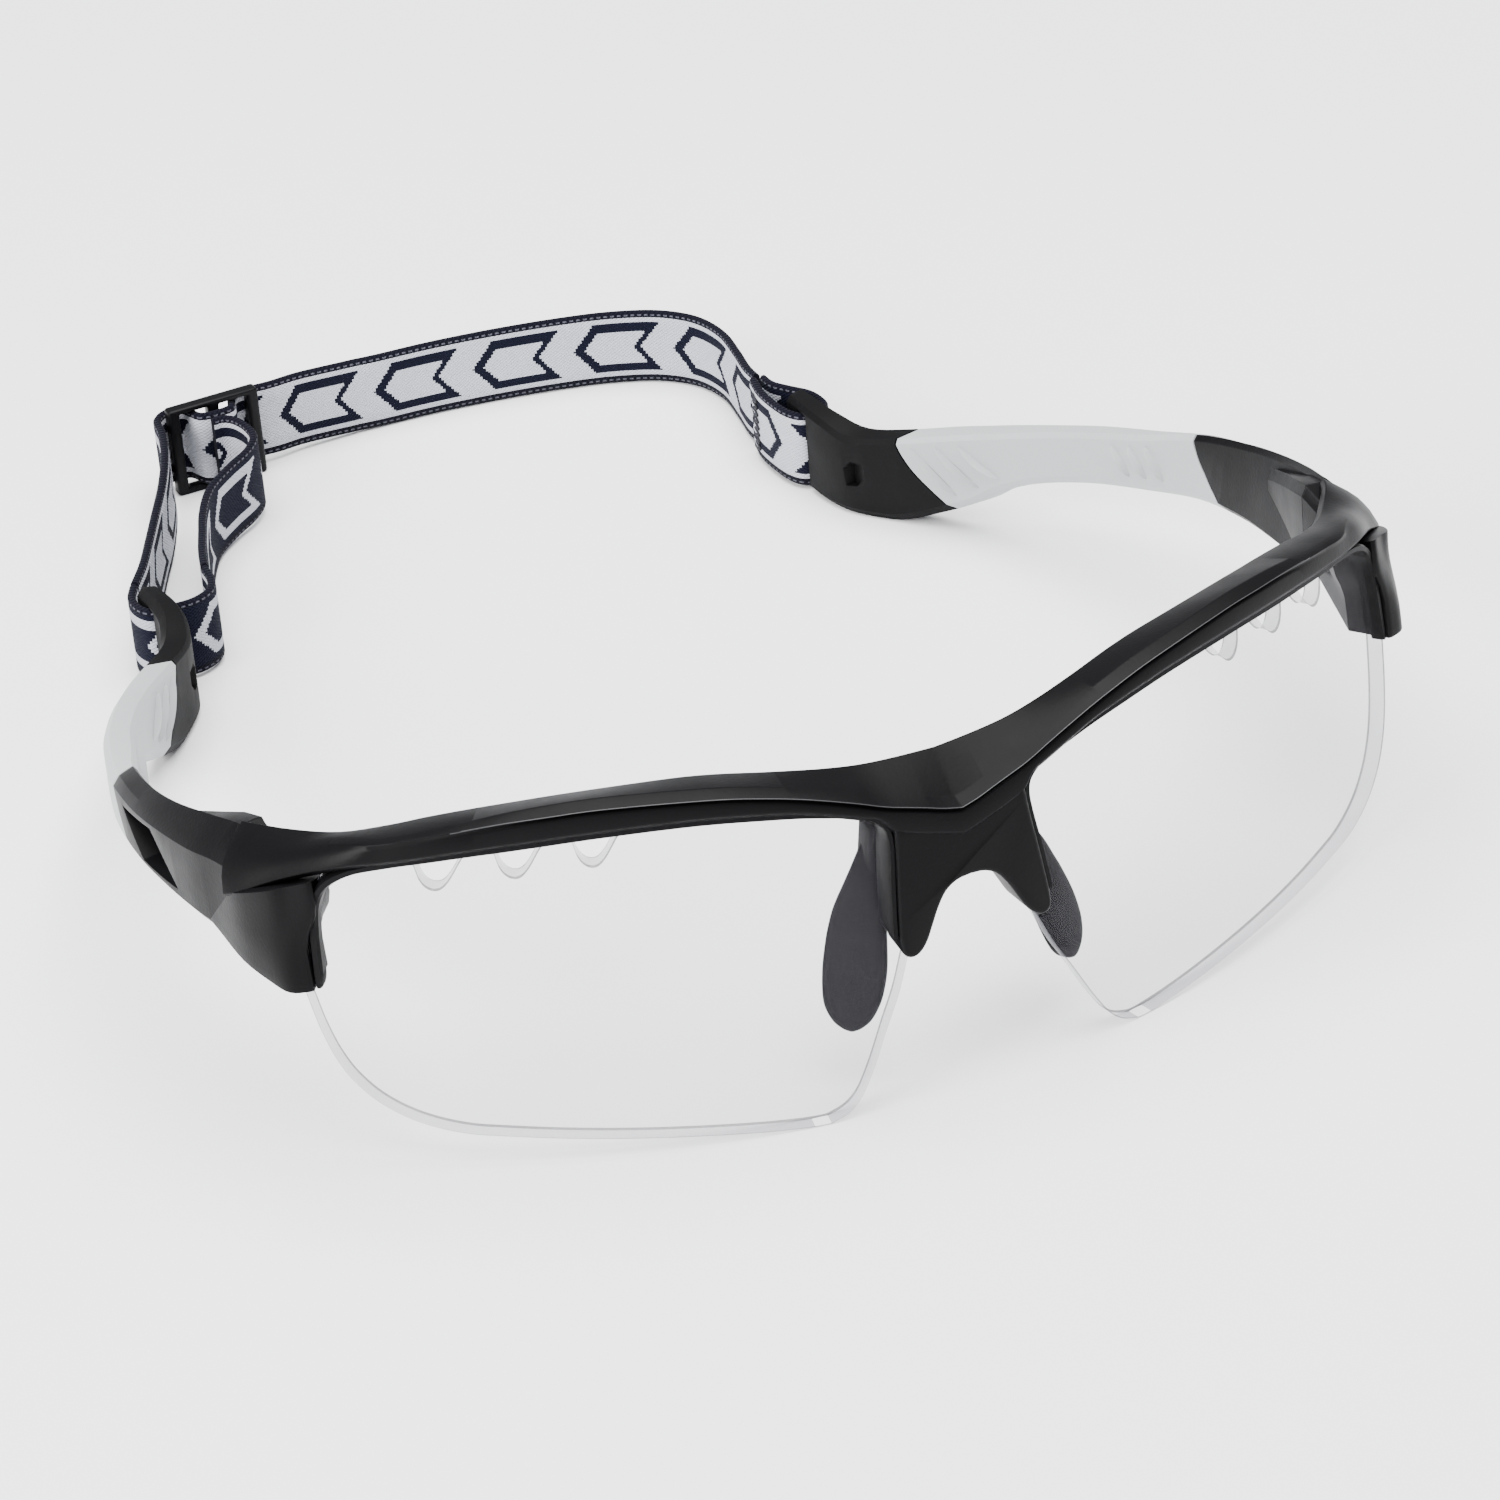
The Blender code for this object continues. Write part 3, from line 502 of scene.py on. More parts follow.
# Height of the brow's front ridge and of its top, by side position x
RIDGE_Z = smooth_table(((0.0, 32.8), (2.3, 33.4), (4.6, 34.2), (8.2, 35.3), (11.5, 36.6), (17.2, 38.5),
                        (24.0, 40.0), (31.0, 40.7), (38.0, 40.9), (46.0, 40.2), (51.0, 39.3), (57.5, 38.0)))
TOP_Z = smooth_table(((0.0, 37.4), (9.0, 37.9), (19.0, 39.1), (28.0, 40.1), (38.0, 40.0), (46.0, 39.3),
                      (54.0, 38.1), (58.0, 37.3)))
BRIDGE_OUT = 2.0               # how far the brow stands out from the lens
BROW_COLUMNS = (0.0, 2.0, 4.0, 6.0, 7.5, 9.0, 11.0, 14.0, 17.0, 20.0, 24.0, 28.0, 33.0, 38.0, 42.0, 46.0,
                50.0, 54.0, 57.5)


def brow_section(x):
    """Ten points round the brow at side x, from its lower front edge upward."""
    low = table(BROW_LOW, x) - 0.1
    ridge = table(RIDGE_Z, x)
    top = table(TOP_Z, x)
    low = min(low, ridge - 2.4)
    fade = smoothstep(40.0, 56.0, x)
    groove = 0.4 * (1.0 - fade)
    crown = 0.35 * (1.0 - fade)
    back = -3.5 - 0.9 * smoothstep(8.0, 26.0, x) * smoothstep(62.0, 50.0, x)
    section = ((1.35, low), (BRIDGE_OUT, low + 0.75), (BRIDGE_OUT - 0.1, ridge - 0.7),
               (BRIDGE_OUT - 0.1 - groove, ridge - 0.4), (BRIDGE_OUT + crown, ridge),
               (BRIDGE_OUT - 1.3, ridge + 0.55 - 0.5 * fade), (back + 0.6, top), (back, top - 0.9),
               (back, low + 0.9), (back + 0.7, low + 0.1))
    return [wrap(x, z, out) for out, z in section]


# Corner stations in plain coordinates; the last one lies past the seam with the temple
CORNER = (
    ((62.7, 21.2, 34.1), (63.2, 20.9, 34.9), (62.9, 21.5, 35.9), (62.6, 22.0, 36.3), (62.2, 22.7, 36.6),
     (61.3, 23.6, 36.7), (59.9, 25.2, 36.1), (59.3, 25.6, 35.3), (59.8, 25.0, 33.8), (61.2, 23.6, 33.6)),
    ((66.7, 26.7, 31.2), (67.4, 26.5, 31.8), (67.2, 27.2, 33.0), (66.9, 27.7, 33.5), (66.6, 28.2, 33.9),
     (65.7, 28.8, 34.4), (63.5, 29.9, 35.2), (62.8, 30.2, 34.4), (63.1, 29.9, 31.6), (64.4, 28.8, 30.8)),
    ((70.9, 31.8, 28.2), (71.6, 31.7, 28.8), (71.1, 32.8, 30.3), (70.7, 33.4, 31.0), (70.2, 33.9, 31.7),
     (69.2, 34.3, 32.6), (66.6, 35.0, 34.5), (66.0, 35.2, 33.8), (66.1, 35.0, 30.6), (66.8, 34.6, 28.6)),
    ((71.4, 38.6, 27.0), (72.0, 38.6, 27.6), (71.9, 39.4, 29.4), (71.6, 39.8, 30.1), (71.3, 40.2, 30.5),
     (70.4, 40.6, 31.3), (68.2, 41.2, 32.8), (67.4, 41.3, 32.0), (67.2, 41.0, 29.0), (67.8, 40.0, 27.0)),
)


def seam_wedge(side):
    """Space behind the arrow-shaped seam, which the temple fills."""
    y, z, upper = SEAM_UPPER
    lower = SEAM_LOWER[2]
    reach = 15.0
    y -= JOINT_GAP
    profile = ((y, z), (y + upper * reach, z + reach), (60.0, z + reach), (60.0, z - reach),
               (y - lower * reach, z - reach))
    return mirrored(prism(profile, 50.0, 80.0), side)


def brow():
    """Brow bar from corner to corner, ending at the seams with the temples."""
    keys = [brow_section(x) for x in BROW_COLUMNS] + [[Vector(p) for p in station] for station in CORNER]
    columns = [curve([ring[k] for ring in keys], 4) for k in range(10)]
    left = [[column[i] for column in columns] for i in range(len(columns[0]))]
    right = [[Vector((-p.x, p.y, p.z)) for p in ring] for ring in reversed(left[1:])]
    return cut(rounded(loft(right + left), 0.28, 22.0, 3), seam_wedge(-1), seam_wedge(1))


def plate(outline, front, back):
    """Plate over an outline of (x, z) points laid on the wrap cylinder."""
    return loft([[wrap(x, z, out) for x, z in outline] for out in (front, back)])


NOSE_OUTLINE = ((0.0, 24.9), (1.6, 24.7), (3.0, 23.9), (4.1, 22.4), (5.0, 20.7), (5.9, 19.0), (6.9, 17.9),
                (7.9, 17.6), (8.7, 18.1), (8.9, 19.4), (8.7, 22.0), (8.3, 26.0), (7.9, 29.6), (7.7, 32.6))


def bridge():
    """Nose bridge with its two arms, one plate bent round the lens cylinder."""
    half = [(p[0], p[1]) for p in curve(NOSE_OUTLINE, 4)]
    right = [(-x, z) for x, z in reversed(half) if x > 0.01]
    body = plate(half + right, BRIDGE_OUT + 0.03, -3.0)
    return rounded(body, 0.55, 50.0, 4)


LIP_LINE = ((9.25, 19.9), (9.05, 22.0), (8.7, 25.4), (8.25, 29.0), (8.15, 31.5), (8.8, 33.1), (10.6, 34.35),
            (13.6, 35.25), (19.0, 36.4), (28.0, 37.45), (38.0, 37.5), (48.0, 36.65), (54.0, 35.8),
            (57.8, 35.1), (60.9, 34.2), (63.1, 32.6), (64.3, 30.2), (64.8, 27.0), (65.0, 24.0),
            (65.2, 20.5))
LIP_HALF_WIDTH = 0.42


def lip():
    """Thin raised lip that follows the lens opening: arm, brow and drop."""
    line = curve(LIP_LINE, 6)
    rings = []
    last = len(line) - 1
    for i, here in enumerate(line):
        ahead = line[min(i + 1, last)] - line[max(i - 1, 0)]
        across = Vector((-ahead[1], ahead[0])).normalized()
        to_end = min(i, last - i)
        half = LIP_HALF_WIDTH * (0.55 if to_end == 0 else 0.85 if to_end == 1 else 1.0)
        ring = []
        beside = smoothstep(34.0, 28.0, here[1]) * smoothstep(40.0, 60.0, here[0])
        for u, out in ((-1, -2.4), (-1, 1.0), (-0.55, 1.4), (0.55, 1.4), (1, 1.0), (1, -2.4)):
            spot = here + across * (half * u)
            out = out - 0.3 * beside if out > 0.0 else out + 2.0 * beside
            ring.append(wrap(spot[0], spot[1], out))
        rings.append(ring)
    return loft(rings)


DROP_LEVELS = (20.4, 21.5, 23.0, 25.0, 27.0, 29.0, 30.6, 31.8, 33.2)


def drop():
    """Lug of the frame corner beside the lens, turning smoothly from its front to its side."""
    rings = []
    for z in DROP_LEVELS:
        high = smoothstep(22.0, 32.0, z)
        inner = 65.5 - 1.5 * smoothstep(25.0, 30.5, z)
        outline = curve((wrap(inner, z, 1.4), wrap(inner + 0.45, z, 1.8),
                         wrap(67.3 - 1.0 * high, z, 2.2 - 0.6 * high),
                         (69.9 - 0.9 * high, 25.3, z), (71.0 - 0.2 * high, 29.8, z),
                         (71.3, 35.5, z), (71.6, 41.0, z)), 4)
        ring = outline + [Vector((66.5, 41.0, z)), Vector((65.9, 36.8, z)), wrap(inner, z, -3.4)]
        for p in ring:
            foot_rise = 0.12 * max(p.y - 23.0, 0.0) * (1.0 - high)
            top_fall = 0.45 * max(min(p.y, 33.0) - 22.0, 0.0) * high
            p.z += foot_rise - top_fall
        rings.append(ring)
    return rounded(loft(rings), 0.5, 40.0, 4)


# Swelling over the hinge: y, inner x, outer x, top z and foot z
HINGE_SWELLING = ((28.0, 64.4, 65.0, 31.6, 24.0), (32.0, 64.3, 66.0, 33.0, 23.6),
                  (36.0, 64.15, 67.4, 34.0, 23.4), (39.5, 64.8, 68.4, 33.0, 23.4),
                  (43.0, 65.9, 68.4, 31.6, 23.6), (47.0, 67.0, 68.4, 30.0, 24.0),
                  (50.5, 67.8, 68.4, 28.6, 24.6))
HINGE_SLIT = (36.1, 36.25)     # gap between the frame's part of the swelling and the temple's


def hinge_swelling(y_low, y_high):
    """Rounded swelling on the inner face at the hinge, between two depths."""
    rings = []
    for y, inner, outer, top, low in HINGE_SWELLING:
        rings.append([Vector(p) for p in (
            (outer, y, low - 0.3), (inner + 0.5, y, low), (inner, y, low + 1.2), (inner, y, top - 1.4),
            (inner + 0.5, y, top - 0.4), (inner + 0.55, y, top), (outer, y, top - 0.3))])
    body = rounded(loft(rings), 0.2, 20.0, 3)
    before = block((50.0, 0.0, 0.0), (80.0, y_low, 50.0))
    after = block((50.0, y_high, 0.0), (80.0, 80.0, 50.0))
    return cut(body, before, after)


def frame_body():
    """All of the front: brow, bridge, lips, corner lugs and hinge swellings."""
    parts = [brow(), bridge()]
    for _, side in SIDES:
        parts.append(mirrored(lip(), side))
        parts.append(cut(mirrored(drop(), side), seam_wedge(side)))
        parts.append(mirrored(hinge_swelling(10.0, HINGE_SLIT[0]), side))
    return joined(*parts)


def mark_ridge_painted_highlight(bm):
    """Second material on the crest of the ridge along the brow: glossier, and lighter in colour as a
    painted highlight.
    """
    for face in bm.faces:
        centre = face.calc_center_median()
        x = abs(centre.x)
        on_crest = abs(centre.z - table(RIDGE_Z, x)) < 0.32
        if x < 54.0 and outward(centre) > BRIDGE_OUT and on_crest:
            face.material_index = 1
    return bm


piece("frame_visual", mark_ridge_painted_highlight(frame_body()), (frame_black, ridge_painted_highlight), FRONT, ("front_frame",),
      sharp=32.0)


# ------------------------------------------------------------------ nose pads

# Down a pad: height z, centre x and y, and half width
PAD_KEYS = ((29.0, 8.0, 4.6, 0.6), (27.0, 8.3, 4.5, 1.1), (24.0, 9.2, 4.15, 1.9), (21.0, 10.2, 3.65, 2.8),
            (19.0, 10.8, 3.3, 3.15), (17.0, 11.4, 2.75, 3.4), (14.0, 12.2, 2.0, 3.55),
            (11.0, 12.9, 1.55, 3.2), (9.0, 13.2, 1.35, 2.3), (8.0, 13.3, 1.25, 1.3), (7.6, 13.3, 1.25, 0.5))
PAD_SWEEP = math.radians(35.0)
PAD_THICKNESS = 1.25
PAD_POINTS = 28


def nose_pad():
    """Soft pad: flattened oval sections down a leaning line."""
    along = Vector((math.cos(PAD_SWEEP), math.sin(PAD_SWEEP), 0.0))
    across = Vector((-along.y, along.x, 0.0))
    rings = []
    for z, x, y, half in curve(PAD_KEYS, 5):
        thin = PAD_THICKNESS * min(1.0, 0.5 + half / 5.0)
        ring = []
        for i in range(PAD_POINTS):
            c = math.cos(math.tau * i / PAD_POINTS)
            s = math.sin(math.tau * i / PAD_POINTS)
            flat = math.copysign(abs(s) ** 0.6, s)
            wide = math.copysign(abs(c) ** 0.9, c)
            ring.append(Vector((x, y, z)) + along * (half * wide) + across * (thin * flat))
        rings.append(ring)
    return loft(rings)


def pad_arm():
    """Springy core of a pad where it leaves the nose arm."""
    return rounded(hull([
        (7.2, 2.2, 30.8), (8.8, 2.2, 30.8), (7.2, 5.2, 30.8), (8.9, 5.2, 30.8), (7.3, 2.7, 26.6),
        (8.9, 3.0, 26.6), (7.6, 5.4, 26.6), (9.2, 5.6, 26.6), (8.2, 3.0, 23.0), (9.4, 3.6, 23.0),
        (8.8, 5.4, 23.0)]), 0.35, 20.0, 3)


for label, side in SIDES:
    piece(f"nose_pad_{label}_visual", mirrored(nose_pad(), side), pad_rubber, f"pad_{label}",
          (f"nose_pad_{label}",))
    piece(f"nose_pad_arm_{label}", mirrored(pad_arm(), side), frame_black, f"pad_{label}",
          (f"nose_pad_core_{label}",))


# ------------------------------------------------------------------ temples

# Along a temple: y, outer x, inner x at the top and at the foot, top z, foot z, and how far the outer
# face's top edge falls and its lower edge rises
TEMPLE_STATIONS = (
    (29.0, 69.8, 66.3, 66.3, 36.0, 21.0, 4.2, 0.0),
    (36.0, 70.7, 66.9, 66.4, 34.1, 20.5, 3.2, 0.0),
    (42.0, 71.7, 68.0, 66.5, 32.5, 20.1, 2.8, 0.0),
    (50.0, 72.2, 69.0, 67.1, 30.2, 19.4, 2.1, 0.0),
    (58.0, 72.1, 69.0, 67.6, 28.0, 18.3, 1.6, 0.2),
    (67.5, 70.9, 67.8, 67.2, 25.3, 16.6, 1.1, 0.4),
    (76.0, 68.8, 65.1, 64.8, 22.3, 14.7, 0.7, 0.3),
    (85.0, 66.0, 62.1, 61.8, 19.5, 12.5, 0.4, 0.2),
    (93.0, 62.7, 58.6, 58.4, 17.0, 9.8, 0.3, 0.1),
    (98.0, 60.3, 55.9, 55.7, 15.4, 7.1, 0.2, 0.0),
    (101.0, 58.6, 54.1, 54.0, 14.5, 4.8, 0.2, 0.0),
    (105.0, 56.0, 51.3, 51.3, 13.3, 2.5, 0.1, 0.0),
    (110.0, 52.4, 47.8, 47.8, 11.8, 0.2, 0.1, 0.0),
    (115.0, 48.4, 44.2, 44.2, 10.9, 0.0, 0.1, 0.0),
    (119.5, 46.3, 42.8, 42.8, 11.7, 0.0, 0.1, 0.0),
    (124.0, 45.7, 42.5, 42.5, 11.8, 0.0, 0.1, 0.0),
    (128.6, 45.7, 42.7, 42.7, 11.3, 0.0, 0.1, 0.0),
)

# Joints of the grip with the temple and with the tip: points (y, z) down each curve
GRIP_FRONT = ((64.8, 30.0), (67.4, 27.2), (68.0, 24.6), (66.6, 22.0), (63.6, 19.3), (59.4, 16.9),
              (54.0, 14.5))
GRIP_REAR = ((109.0, 17.0), (109.7, 13.4), (109.3, 10.9), (107.9, 8.2), (105.9, 5.9), (103.4, 3.5),
             (100.0, 0.0), (98.0, -3.0))


def beside_joint(joint, gap, far_y):
    """Space on one side of a curved joint, from gap behind the joint to far_y."""
    edge = [(p[0] + gap, p[1]) for p in curve(joint, 5)]
    ends = [(edge[-1][0], -20.0), (far_y, -20.0), (far_y, 60.0)]
    return prism([(edge[0][0], 60.0)] + edge + ends, 30.0, 85.0)


def in_front_of(joint):
    """Space ahead of a joint, to take away from the piece behind it."""
    return beside_joint(joint, JOINT_GAP, 10.0)


def behind(joint):
    """Space behind a joint, to take away from the piece ahead of it."""
    return beside_joint(joint, -JOINT_GAP, 140.0)


def temple_ring(row):
    """Section of a temple at one station."""
    y, outer, inner_top, inner_low, top, low, fall, rise = row
    low = max(low, 0.0)
    return [Vector(p) for p in (
        (inner_top + 0.5, y, top), (outer - 0.9, y, top - fall + 0.5), (outer, y, top - fall - 0.5),
        (outer, y, low + rise + 1.4), (outer - 1.0, y, low + rise), (inner_low + 0.8, y, low),
        (inner_low, y, low + 1.0), (inner_top, y, top - 0.7))]


def temple_body():
    """Whole arm, from the seam with the front to the end of the tip."""
    return loft([temple_ring(row) for row in curve(TEMPLE_STATIONS, 5)])


def pocket():
    """Three-cornered recess in the outer face of a temple, with a sloping floor."""
    return hull([(75.0, 64.0, 24.2), (75.0, 52.0, 27.0), (75.0, 44.8, 21.9), (75.0, 56.0, 20.1),
                 (70.2, 62.6, 23.6), (70.2, 52.4, 26.2), (70.8, 46.2, 22.1), (70.2, 56.0, 20.8)])


TEMPLE_ROWS = curve(TEMPLE_STATIONS, 8)


def temple_row(y):
    """Measures of the temple's section at y, in the order of TEMPLE_STATIONS."""
    for a, b in zip(TEMPLE_ROWS, TEMPLE_ROWS[1:]):
        if y <= b[0]:
            t = (y - a[0]) / (b[0] - a[0])
            return a + (b - a) * t
    return TEMPLE_ROWS[-1]


RIB_COUNT = 3
RIB_STEPS = 16


def grip_ribs(y_start, spacing, run):
    """Slanting ribs moulded on the inner face of a grip."""
    ribs = []
    for i in range(RIB_COUNT):
        rings = []
        for k in range(RIB_STEPS + 1):
            t = k / RIB_STEPS
            y = y_start + spacing * i - run * t
            row = temple_row(y)
            z = row[4] - 1.3 - (row[4] - row[5] - 3.2) * t
            x = row[2] + (row[3] - row[2]) * t
            swell = math.sin(math.pi * t) ** 0.5
            rings.append([(x + 0.3, y - 0.55 * swell - 0.02, z), (x - 0.85 * swell, y - 0.1, z),
                          (x + 0.3, y + 0.35 * swell + 0.02, z)])
        ribs.append(loft(rings))
    return ribs


EYELET_AT = (114.4, 5.7)
EYELET_OUTLINE = ((-1.3, 1.7), (0.3, 1.9), (1.4, 0.7), (1.1, -1.7), (-0.4, -1.4), (-1.5, 0.3))


def eyelet():
    """Small slanted recess in the inner face of a tip, ahead of the slot."""
    y, z = EYELET_AT
    return hull([(x, y + dy, z + dz) for x in (41.0, 45.4) for dy, dz in EYELET_OUTLINE])


def slot():
    """Opening through the tip for the strap's loop."""
    return block((38.0, SLOT_Y - 1.1, 0.3), (50.0, SLOT_Y + 1.1, 10.9))


def temple_arm():
    """Black arm with its recess and its part of the hinge's swelling."""
    arm = sliced(temple_body(), SEAM_UPPER, JOINT_GAP)
    arm = sliced(arm, SEAM_LOWER, JOINT_GAP)
    arm = cut(arm, pocket(), behind(GRIP_FRONT))
    return joined(rounded(arm, 0.25, 14.0, 3), hinge_swelling(HINGE_SLIT[1], 70.0))


def temple_grip():
    """Light soft grip with a group of ribs near each end."""
    grip = rounded(cut(temple_body(), in_front_of(GRIP_FRONT), behind(GRIP_REAR)), 0.35, 14.0, 3)
    return joined(grip, *grip_ribs(75.6, 2.7, 2.9), *grip_ribs(102.2, 2.75, 5.0))


def temple_tip():
    """Black soft tip with the strap's slot and a small recess."""
    return rounded(cut(temple_body(), in_front_of(GRIP_REAR), eyelet(), slot()), 0.25, 14.0, 3)


for label, side in SIDES:
    body = f"temple_{label}_arm"
    piece(f"temple_{label}_visual", mirrored(temple_arm(), side), frame_black, body, (f"temple_{label}",),
          sharp=30.0)
    piece(f"grip_{label}_visual", mirrored(temple_grip(), side), grip_grey, body, (f"temple_grip_{label}",),
          sharp=50.0)
    piece(f"tip_{label}_visual", mirrored(temple_tip(), side), rubber_black, body, (f"temple_tip_{label}",),
          sharp=40.0)
    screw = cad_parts[f"hinge_screw_{label}"]
    screw.data.materials.clear()
    screw.data.materials.append(steel)


# ------------------------------------------------------------------ strap

# Plan routes (x, y) of the webbing's middle
LOOP = ((41.9, 136.6), (41.2, 133.0), (41.2, 129.2), (41.6, 126.2), (42.6, 124.4), (44.2, 124.2),
        (45.8, 124.5), (46.6, 126.4), (46.2, 129.2), (44.6, 131.8), (43.4, 134.0), (43.2, 136.4))
LOOP_RIGHT = ((-35.9, 131.0), (-36.2, 128.2), (-37.4, 125.6), (-40.0, 124.2), (-43.0, 124.2),
              (-45.4, 124.5), (-46.4, 126.4), (-46.3, 129.0), (-45.0, 131.6))
BAND = ((42.7, 137.4), (42.9, 140.6), (43.8, 145.4), (44.5, 151.2), (43.4, 156.6), (40.2, 160.8),
        (35.6, 163.7), (30.0, 165.9), (21.0, 168.3), (11.0, 170.1), (1.0, 171.0), (-6.4, 171.0),
        (-10.6, 170.5), (-14.0, 170.6), (-16.0, 170.2), (-16.8, 168.8), (-17.5, 167.3), (-19.5, 166.95),
        (-21.5, 167.3), (-22.2, 168.8), (-22.9, 170.3), (-24.9, 170.8), (-26.8, 169.4), (-27.6, 165.6),
        (-29.4, 160.4), (-32.2, 154.4), (-35.7, 148.0), (-38.9, 142.0), (-41.9, 136.4), (-44.7, 132.1))
TAIL = ((-20.9, 165.15), (-19.5, 165.1), (-18.3, 163.8), (-17.7, 161.0), (-18.1, 158.2), (-20.2, 155.6),
        (-23.9, 153.0), (-27.6, 149.8), (-30.4, 145.2), (-32.6, 140.0), (-34.6, 135.0), (-35.7, 131.5))

BAND_SPLIT = 10                # the key of BAND where its left and right pieces meet

# Round the webbing's section: side of the middle and height above its foot
EDGE_ROLL = 0.35               # height over which an edge thins out
HEIGHTS = (0.0, EDGE_ROLL, 2.6, 5.1, 7.8, STRAP_WIDTH - EDGE_ROLL, STRAP_WIDTH)
WEBBING_ROWS = [(-1, height) for height in HEIGHTS] + [(1, height) for height in reversed(HEIGHTS)]


def foot_in_tip(x, y):
    """Height of the webbing's lower edge in a temple tip."""
    return 0.5


def webbing_foot(x, y):
    """Height of the webbing's lower edge: raised at the tips and at the slider."""
    slider = smoothstep(26.0, 6.0, math.hypot(x - SLIDER.x, y - SLIDER.y))
    tips = smoothstep(146.0, 132.0, y)
    return 0.15 + 0.35 * tips + 0.85 * slider * (1.0 - tips)


def ribbon(route, steps, flip=False, lift=webbing_foot, start=0.0):
    """Webbing on edge along a plan route, and its length; UVs are millimetres over 100."""
    path = curve(route, steps)
    bm = bmesh.new()
    layer = bm.loops.layers.uv.new("strap")
    length = start
    rings = []
    last = len(path) - 1
    for i, here in enumerate(path):
        ahead = path[min(i + 1, last)] - path[max(i - 1, 0)]
        normal = Vector((-ahead[1], ahead[0])).normalized()
        if i:
            length += (path[i] - path[i - 1]).length
        foot = lift(here[0], here[1])
        ring = []
        for side, height in WEBBING_ROWS:
            edge = 0.42 if height in (0.0, STRAP_WIDTH) else 1.0
            away = normal * (side * STRAP_THICKNESS / 2.0 * edge)
            ring.append(bm.verts.new((here[0] + away[0], here[1] + away[1], foot + height)))
        rings.append((ring, length))
    count = len(WEBBING_ROWS)
    for (near, u0), (far, u1) in zip(rings, rings[1:]):
        for k in range(count):
            j = (k + 1) % count
            v0 = WEBBING_ROWS[k][1]
            v1 = WEBBING_ROWS[j][1]
            face = bm.faces.new((near[k], near[j], far[j], far[k]))
            for loop, (u, v) in zip(face.loops, ((u0, v0), (u0, v1), (u1, v1), (u1, v0))):
                loop[layer].uv = (u / 100.0, v / 100.0)
            right_side = WEBBING_ROWS[k][0] > 0 or WEBBING_ROWS[j][0] > 0
            face.material_index = int(right_side != flip)
    for ring, _ in (rings[0], rings[-1]):
        face = bm.faces.new(ring)
        face.material_index = 1
    return bm, length


def strap_piece(name, route, steps, body, nodes, flip=False, start=0.0, lift=webbing_foot):
    """Finished stretch of the strap, and the length reached at its end."""
    bm, end = ribbon(route, steps, flip, lift, start)
    return piece(name, bm, (webbing_front, webbing_back), body, nodes, sharp=60.0), end


def soft_between(obj):
    """Strap piece with its placement baked into its mesh."""
    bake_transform(obj)


strap_piece("strap_loop_left_visual", LOOP, 5, "temple_left_arm", ("strap_loop_left",), lift=foot_in_tip)
band_left, split = strap_piece("strap_band_left", BAND[:BAND_SPLIT + 1], 6, None, ("strap_band",),
                               flip=True)
band_right, _ = strap_piece("strap_band_right", BAND[BAND_SPLIT:], 6, None, ("strap_band",), flip=True,
                            start=split)
tail, _ = strap_piece("strap_tail_visual", TAIL, 6, None, ("strap_tail",))
strap_piece("strap_loop_right_visual", LOOP_RIGHT, 5, "temple_right_arm", ("strap_loop_right",),
            lift=foot_in_tip)
soft_between(band_left)
soft_between(band_right)
soft_between(tail)


# Slider: half width, half depth, height, rail at top and foot, and the near and far side of a slot
SLIDER_SIZE = (6.15, 0.9, 12.2)
SLIDER_RAIL = 0.8
SLIDER_SLOT = (0.75, 4.65)


def slider_body():
    """Three-bar slider with two slots for the webbing."""
    half, thick, high = SLIDER_SIZE
    near, far = SLIDER_SLOT
    body = block((-half, -thick, 0.0), (half, thick, high))
    for x_low, x_high in ((near, far), (-far, -near)):
        body = cut(body, block((x_low, -3.0, SLIDER_RAIL), (x_high, 3.0, high - SLIDER_RAIL)))
    bmesh.ops.translate(body, verts=body.verts, vec=SLIDER)
    return rounded(body, 0.45, 30.0, 4)


piece("slider_visual", slider_body(), slider_black, "slider", ("strap_slider",))


STITCH_COUNT = 16
STITCH_REACH = 0.8             # half the width of the zigzag


def stitches(x, y, angle, low, high):
    """Zigzag row of lock stitches."""
    along = Vector((math.cos(angle), math.sin(angle), 0.0))
    out = Vector((-along.y, along.x, 0.0)) * 0.15
    up = Vector((0.0, 0.0, 0.22))
    pitch = (high - low) / STITCH_COUNT
    parts = []
    for i in range(STITCH_COUNT):
        reach = along * (STITCH_REACH if i % 2 else -STITCH_REACH)
        start = Vector((x, y, low + pitch * i)) - reach
        end = Vector((x, y, low + pitch * (i + 1))) + reach
        parts.append(hull([p + offset for p in (start, end) for offset in (out, -out, up, -up)]))
    return joined(*parts)


piece("bartack_left_visual", stitches(40.7, 134.0, math.radians(82.0), 1.7, 9.5), thread, "temple_left_arm",
      ("bartack_left",))
piece("bartack_slider_visual", stitches(-19.7, 166.1, 0.0, 2.2, 9.6), thread, "slider",
      ("bartack_slider",))


# ------------------------------------------------------------------ stage

FLOOR_HALF = 3.0


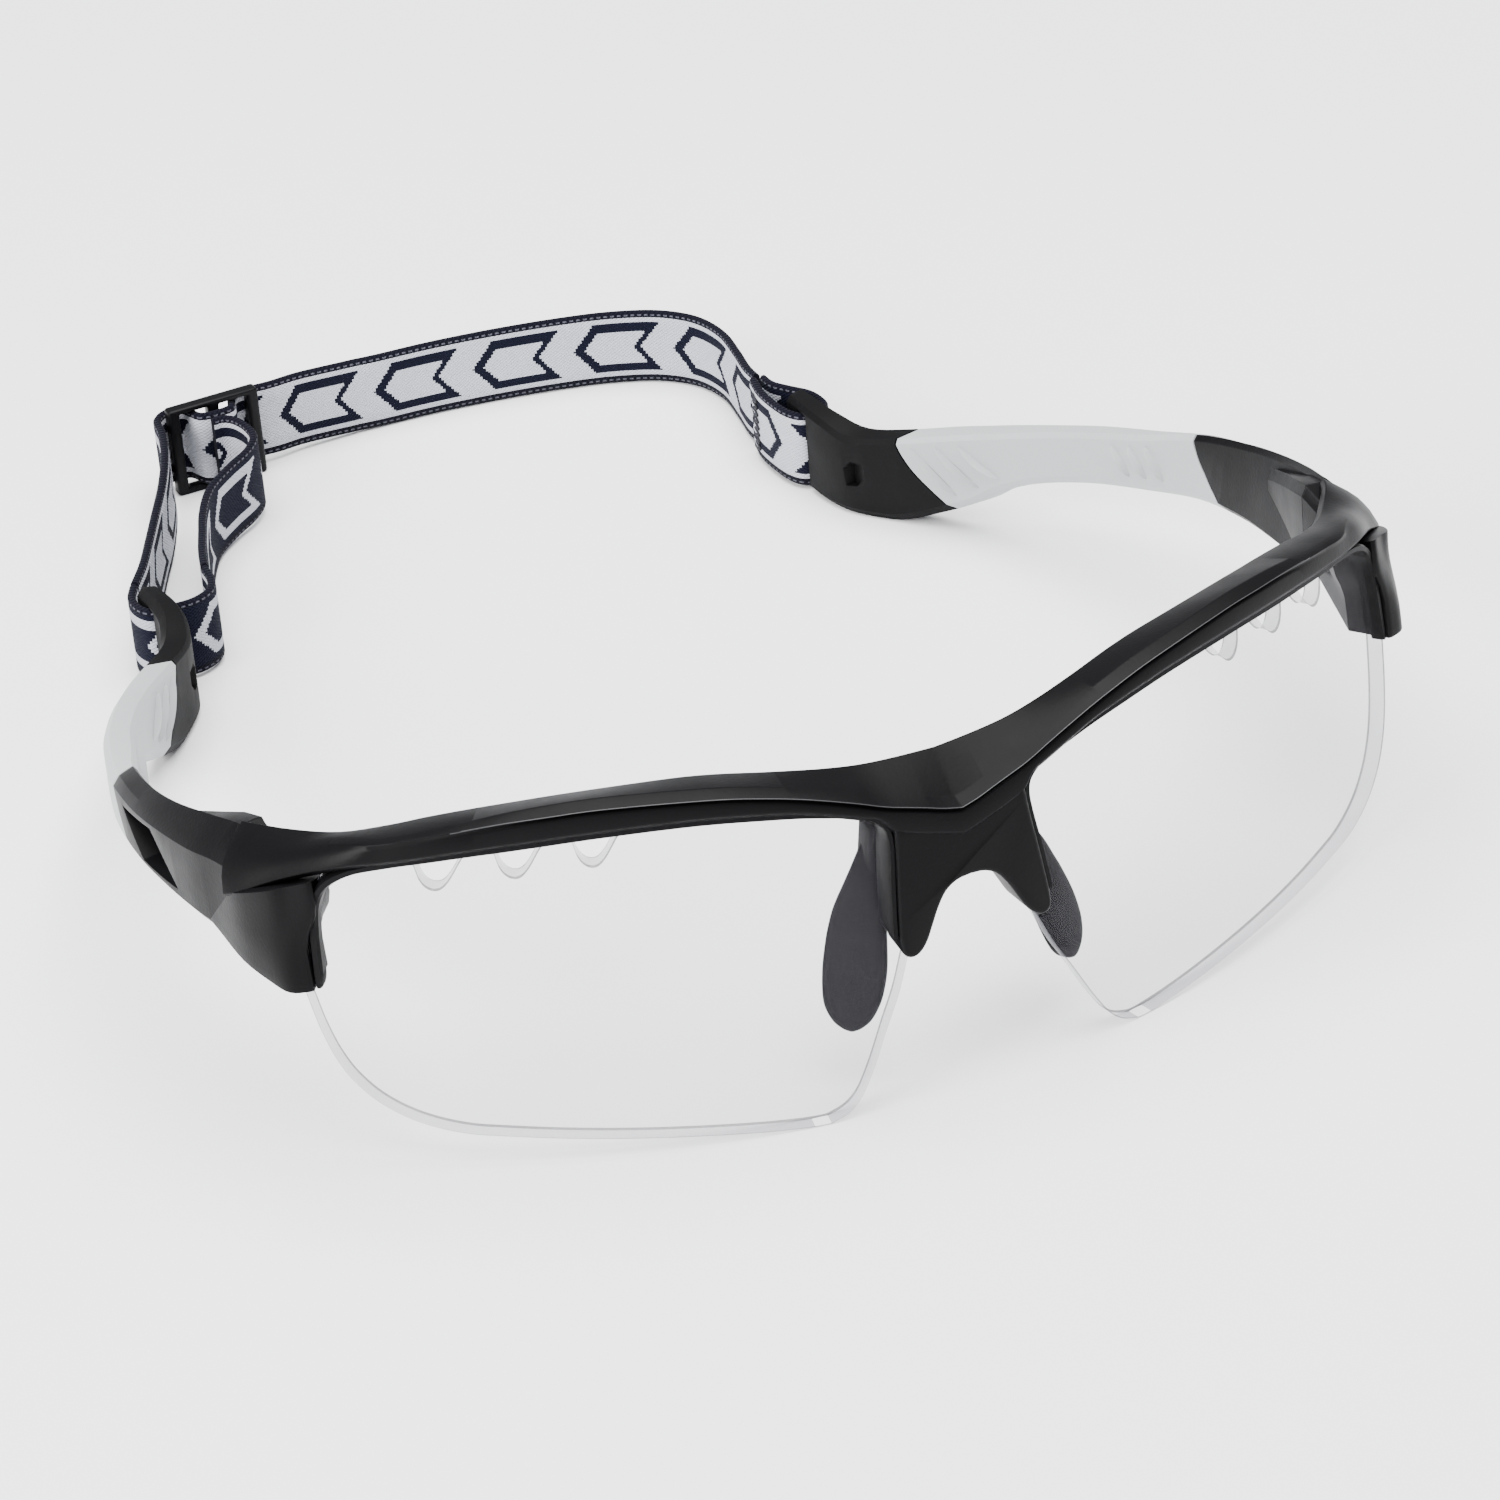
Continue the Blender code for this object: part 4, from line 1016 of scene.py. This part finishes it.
def stage():
    """Plain pale floor."""
    reach = FLOOR_HALF
    mesh = bpy.data.meshes.new("floor")
    mesh.from_pydata([(-reach, -reach, 0), (reach, -reach, 0), (reach, reach, 0), (-reach, reach, 0)], [],
                     [(0, 1, 2, 3)])
    floor = bpy.data.objects.new("floor", mesh)
    bpy.context.scene.collection.objects.link(floor)
    mat, _, _ = new_material("floor_white", (0.93, 0.93, 0.94), 0.9, Specular_IOR_Level=0.1)
    mesh.materials.append(mat)


def area_light(name, place, aim, size, power):
    """Soft rectangular light, aimed at a point; metres and watts."""
    data = bpy.data.lights.new(name, "AREA")
    data.shape = "RECTANGLE"
    data.size, data.size_y = size
    data.energy = power
    light = bpy.data.objects.new(name, data)
    light.location = Vector(place)
    light.rotation_euler = (Vector(aim) - Vector(place)).to_track_quat("-Z", "Y").to_euler()
    bpy.context.scene.collection.objects.link(light)


def lighting():
    """Even studio light: a pale surround, a large light above and a smaller one at the left."""
    world = bpy.data.worlds.new("studio")
    world.use_nodes = True
    background = world.node_tree.nodes["Background"]
    background.inputs["Color"].default_value = (0.95, 0.96, 1.0, 1.0)
    background.inputs["Strength"].default_value = 0.55
    bpy.context.scene.world = world
    area_light("key_left", (-0.85, -0.15, 0.45), (0, 0, 0.02), (0.5, 0.5), 14.0)
    area_light("top", (0.05, -0.05, 1.1), (0, 0, 0), (1.2, 1.2), 44.0)


# Camera: where it is, about the bridge, which way it looks, and its lens on a 36 mm sensor
CAMERA_AT = Vector((-250.43, -519.43, 387.40))
AZIMUTH = math.radians(-23.65)
ELEVATION = math.radians(31.01)
ROLL = math.radians(-5.14)
FOCAL_LENGTH = 152.93


def camera():
    """Long lens from the front right, a little tilted."""
    back = Vector((math.sin(AZIMUTH) * math.cos(ELEVATION), -math.cos(AZIMUTH) * math.cos(ELEVATION),
                   math.sin(ELEVATION)))
    level = Vector((0.0, 0.0, 1.0)).cross(back).normalized()
    above = back.cross(level)
    right = level * math.cos(ROLL) + above * math.sin(ROLL)
    up = above * math.cos(ROLL) - level * math.sin(ROLL)
    data = bpy.data.cameras.new("camera")
    data.lens = FOCAL_LENGTH
    data.sensor_width = 36.0
    data.clip_start = 0.01
    obj = bpy.data.objects.new("camera", data)
    turned = Matrix((right, up, back)).transposed().to_4x4()
    obj.matrix_world = Matrix.Translation((CAMERA_AT + SHIFT) * MM) @ turned
    bpy.context.scene.collection.objects.link(obj)
    bpy.context.scene.camera = obj


stage()
lighting()
camera()
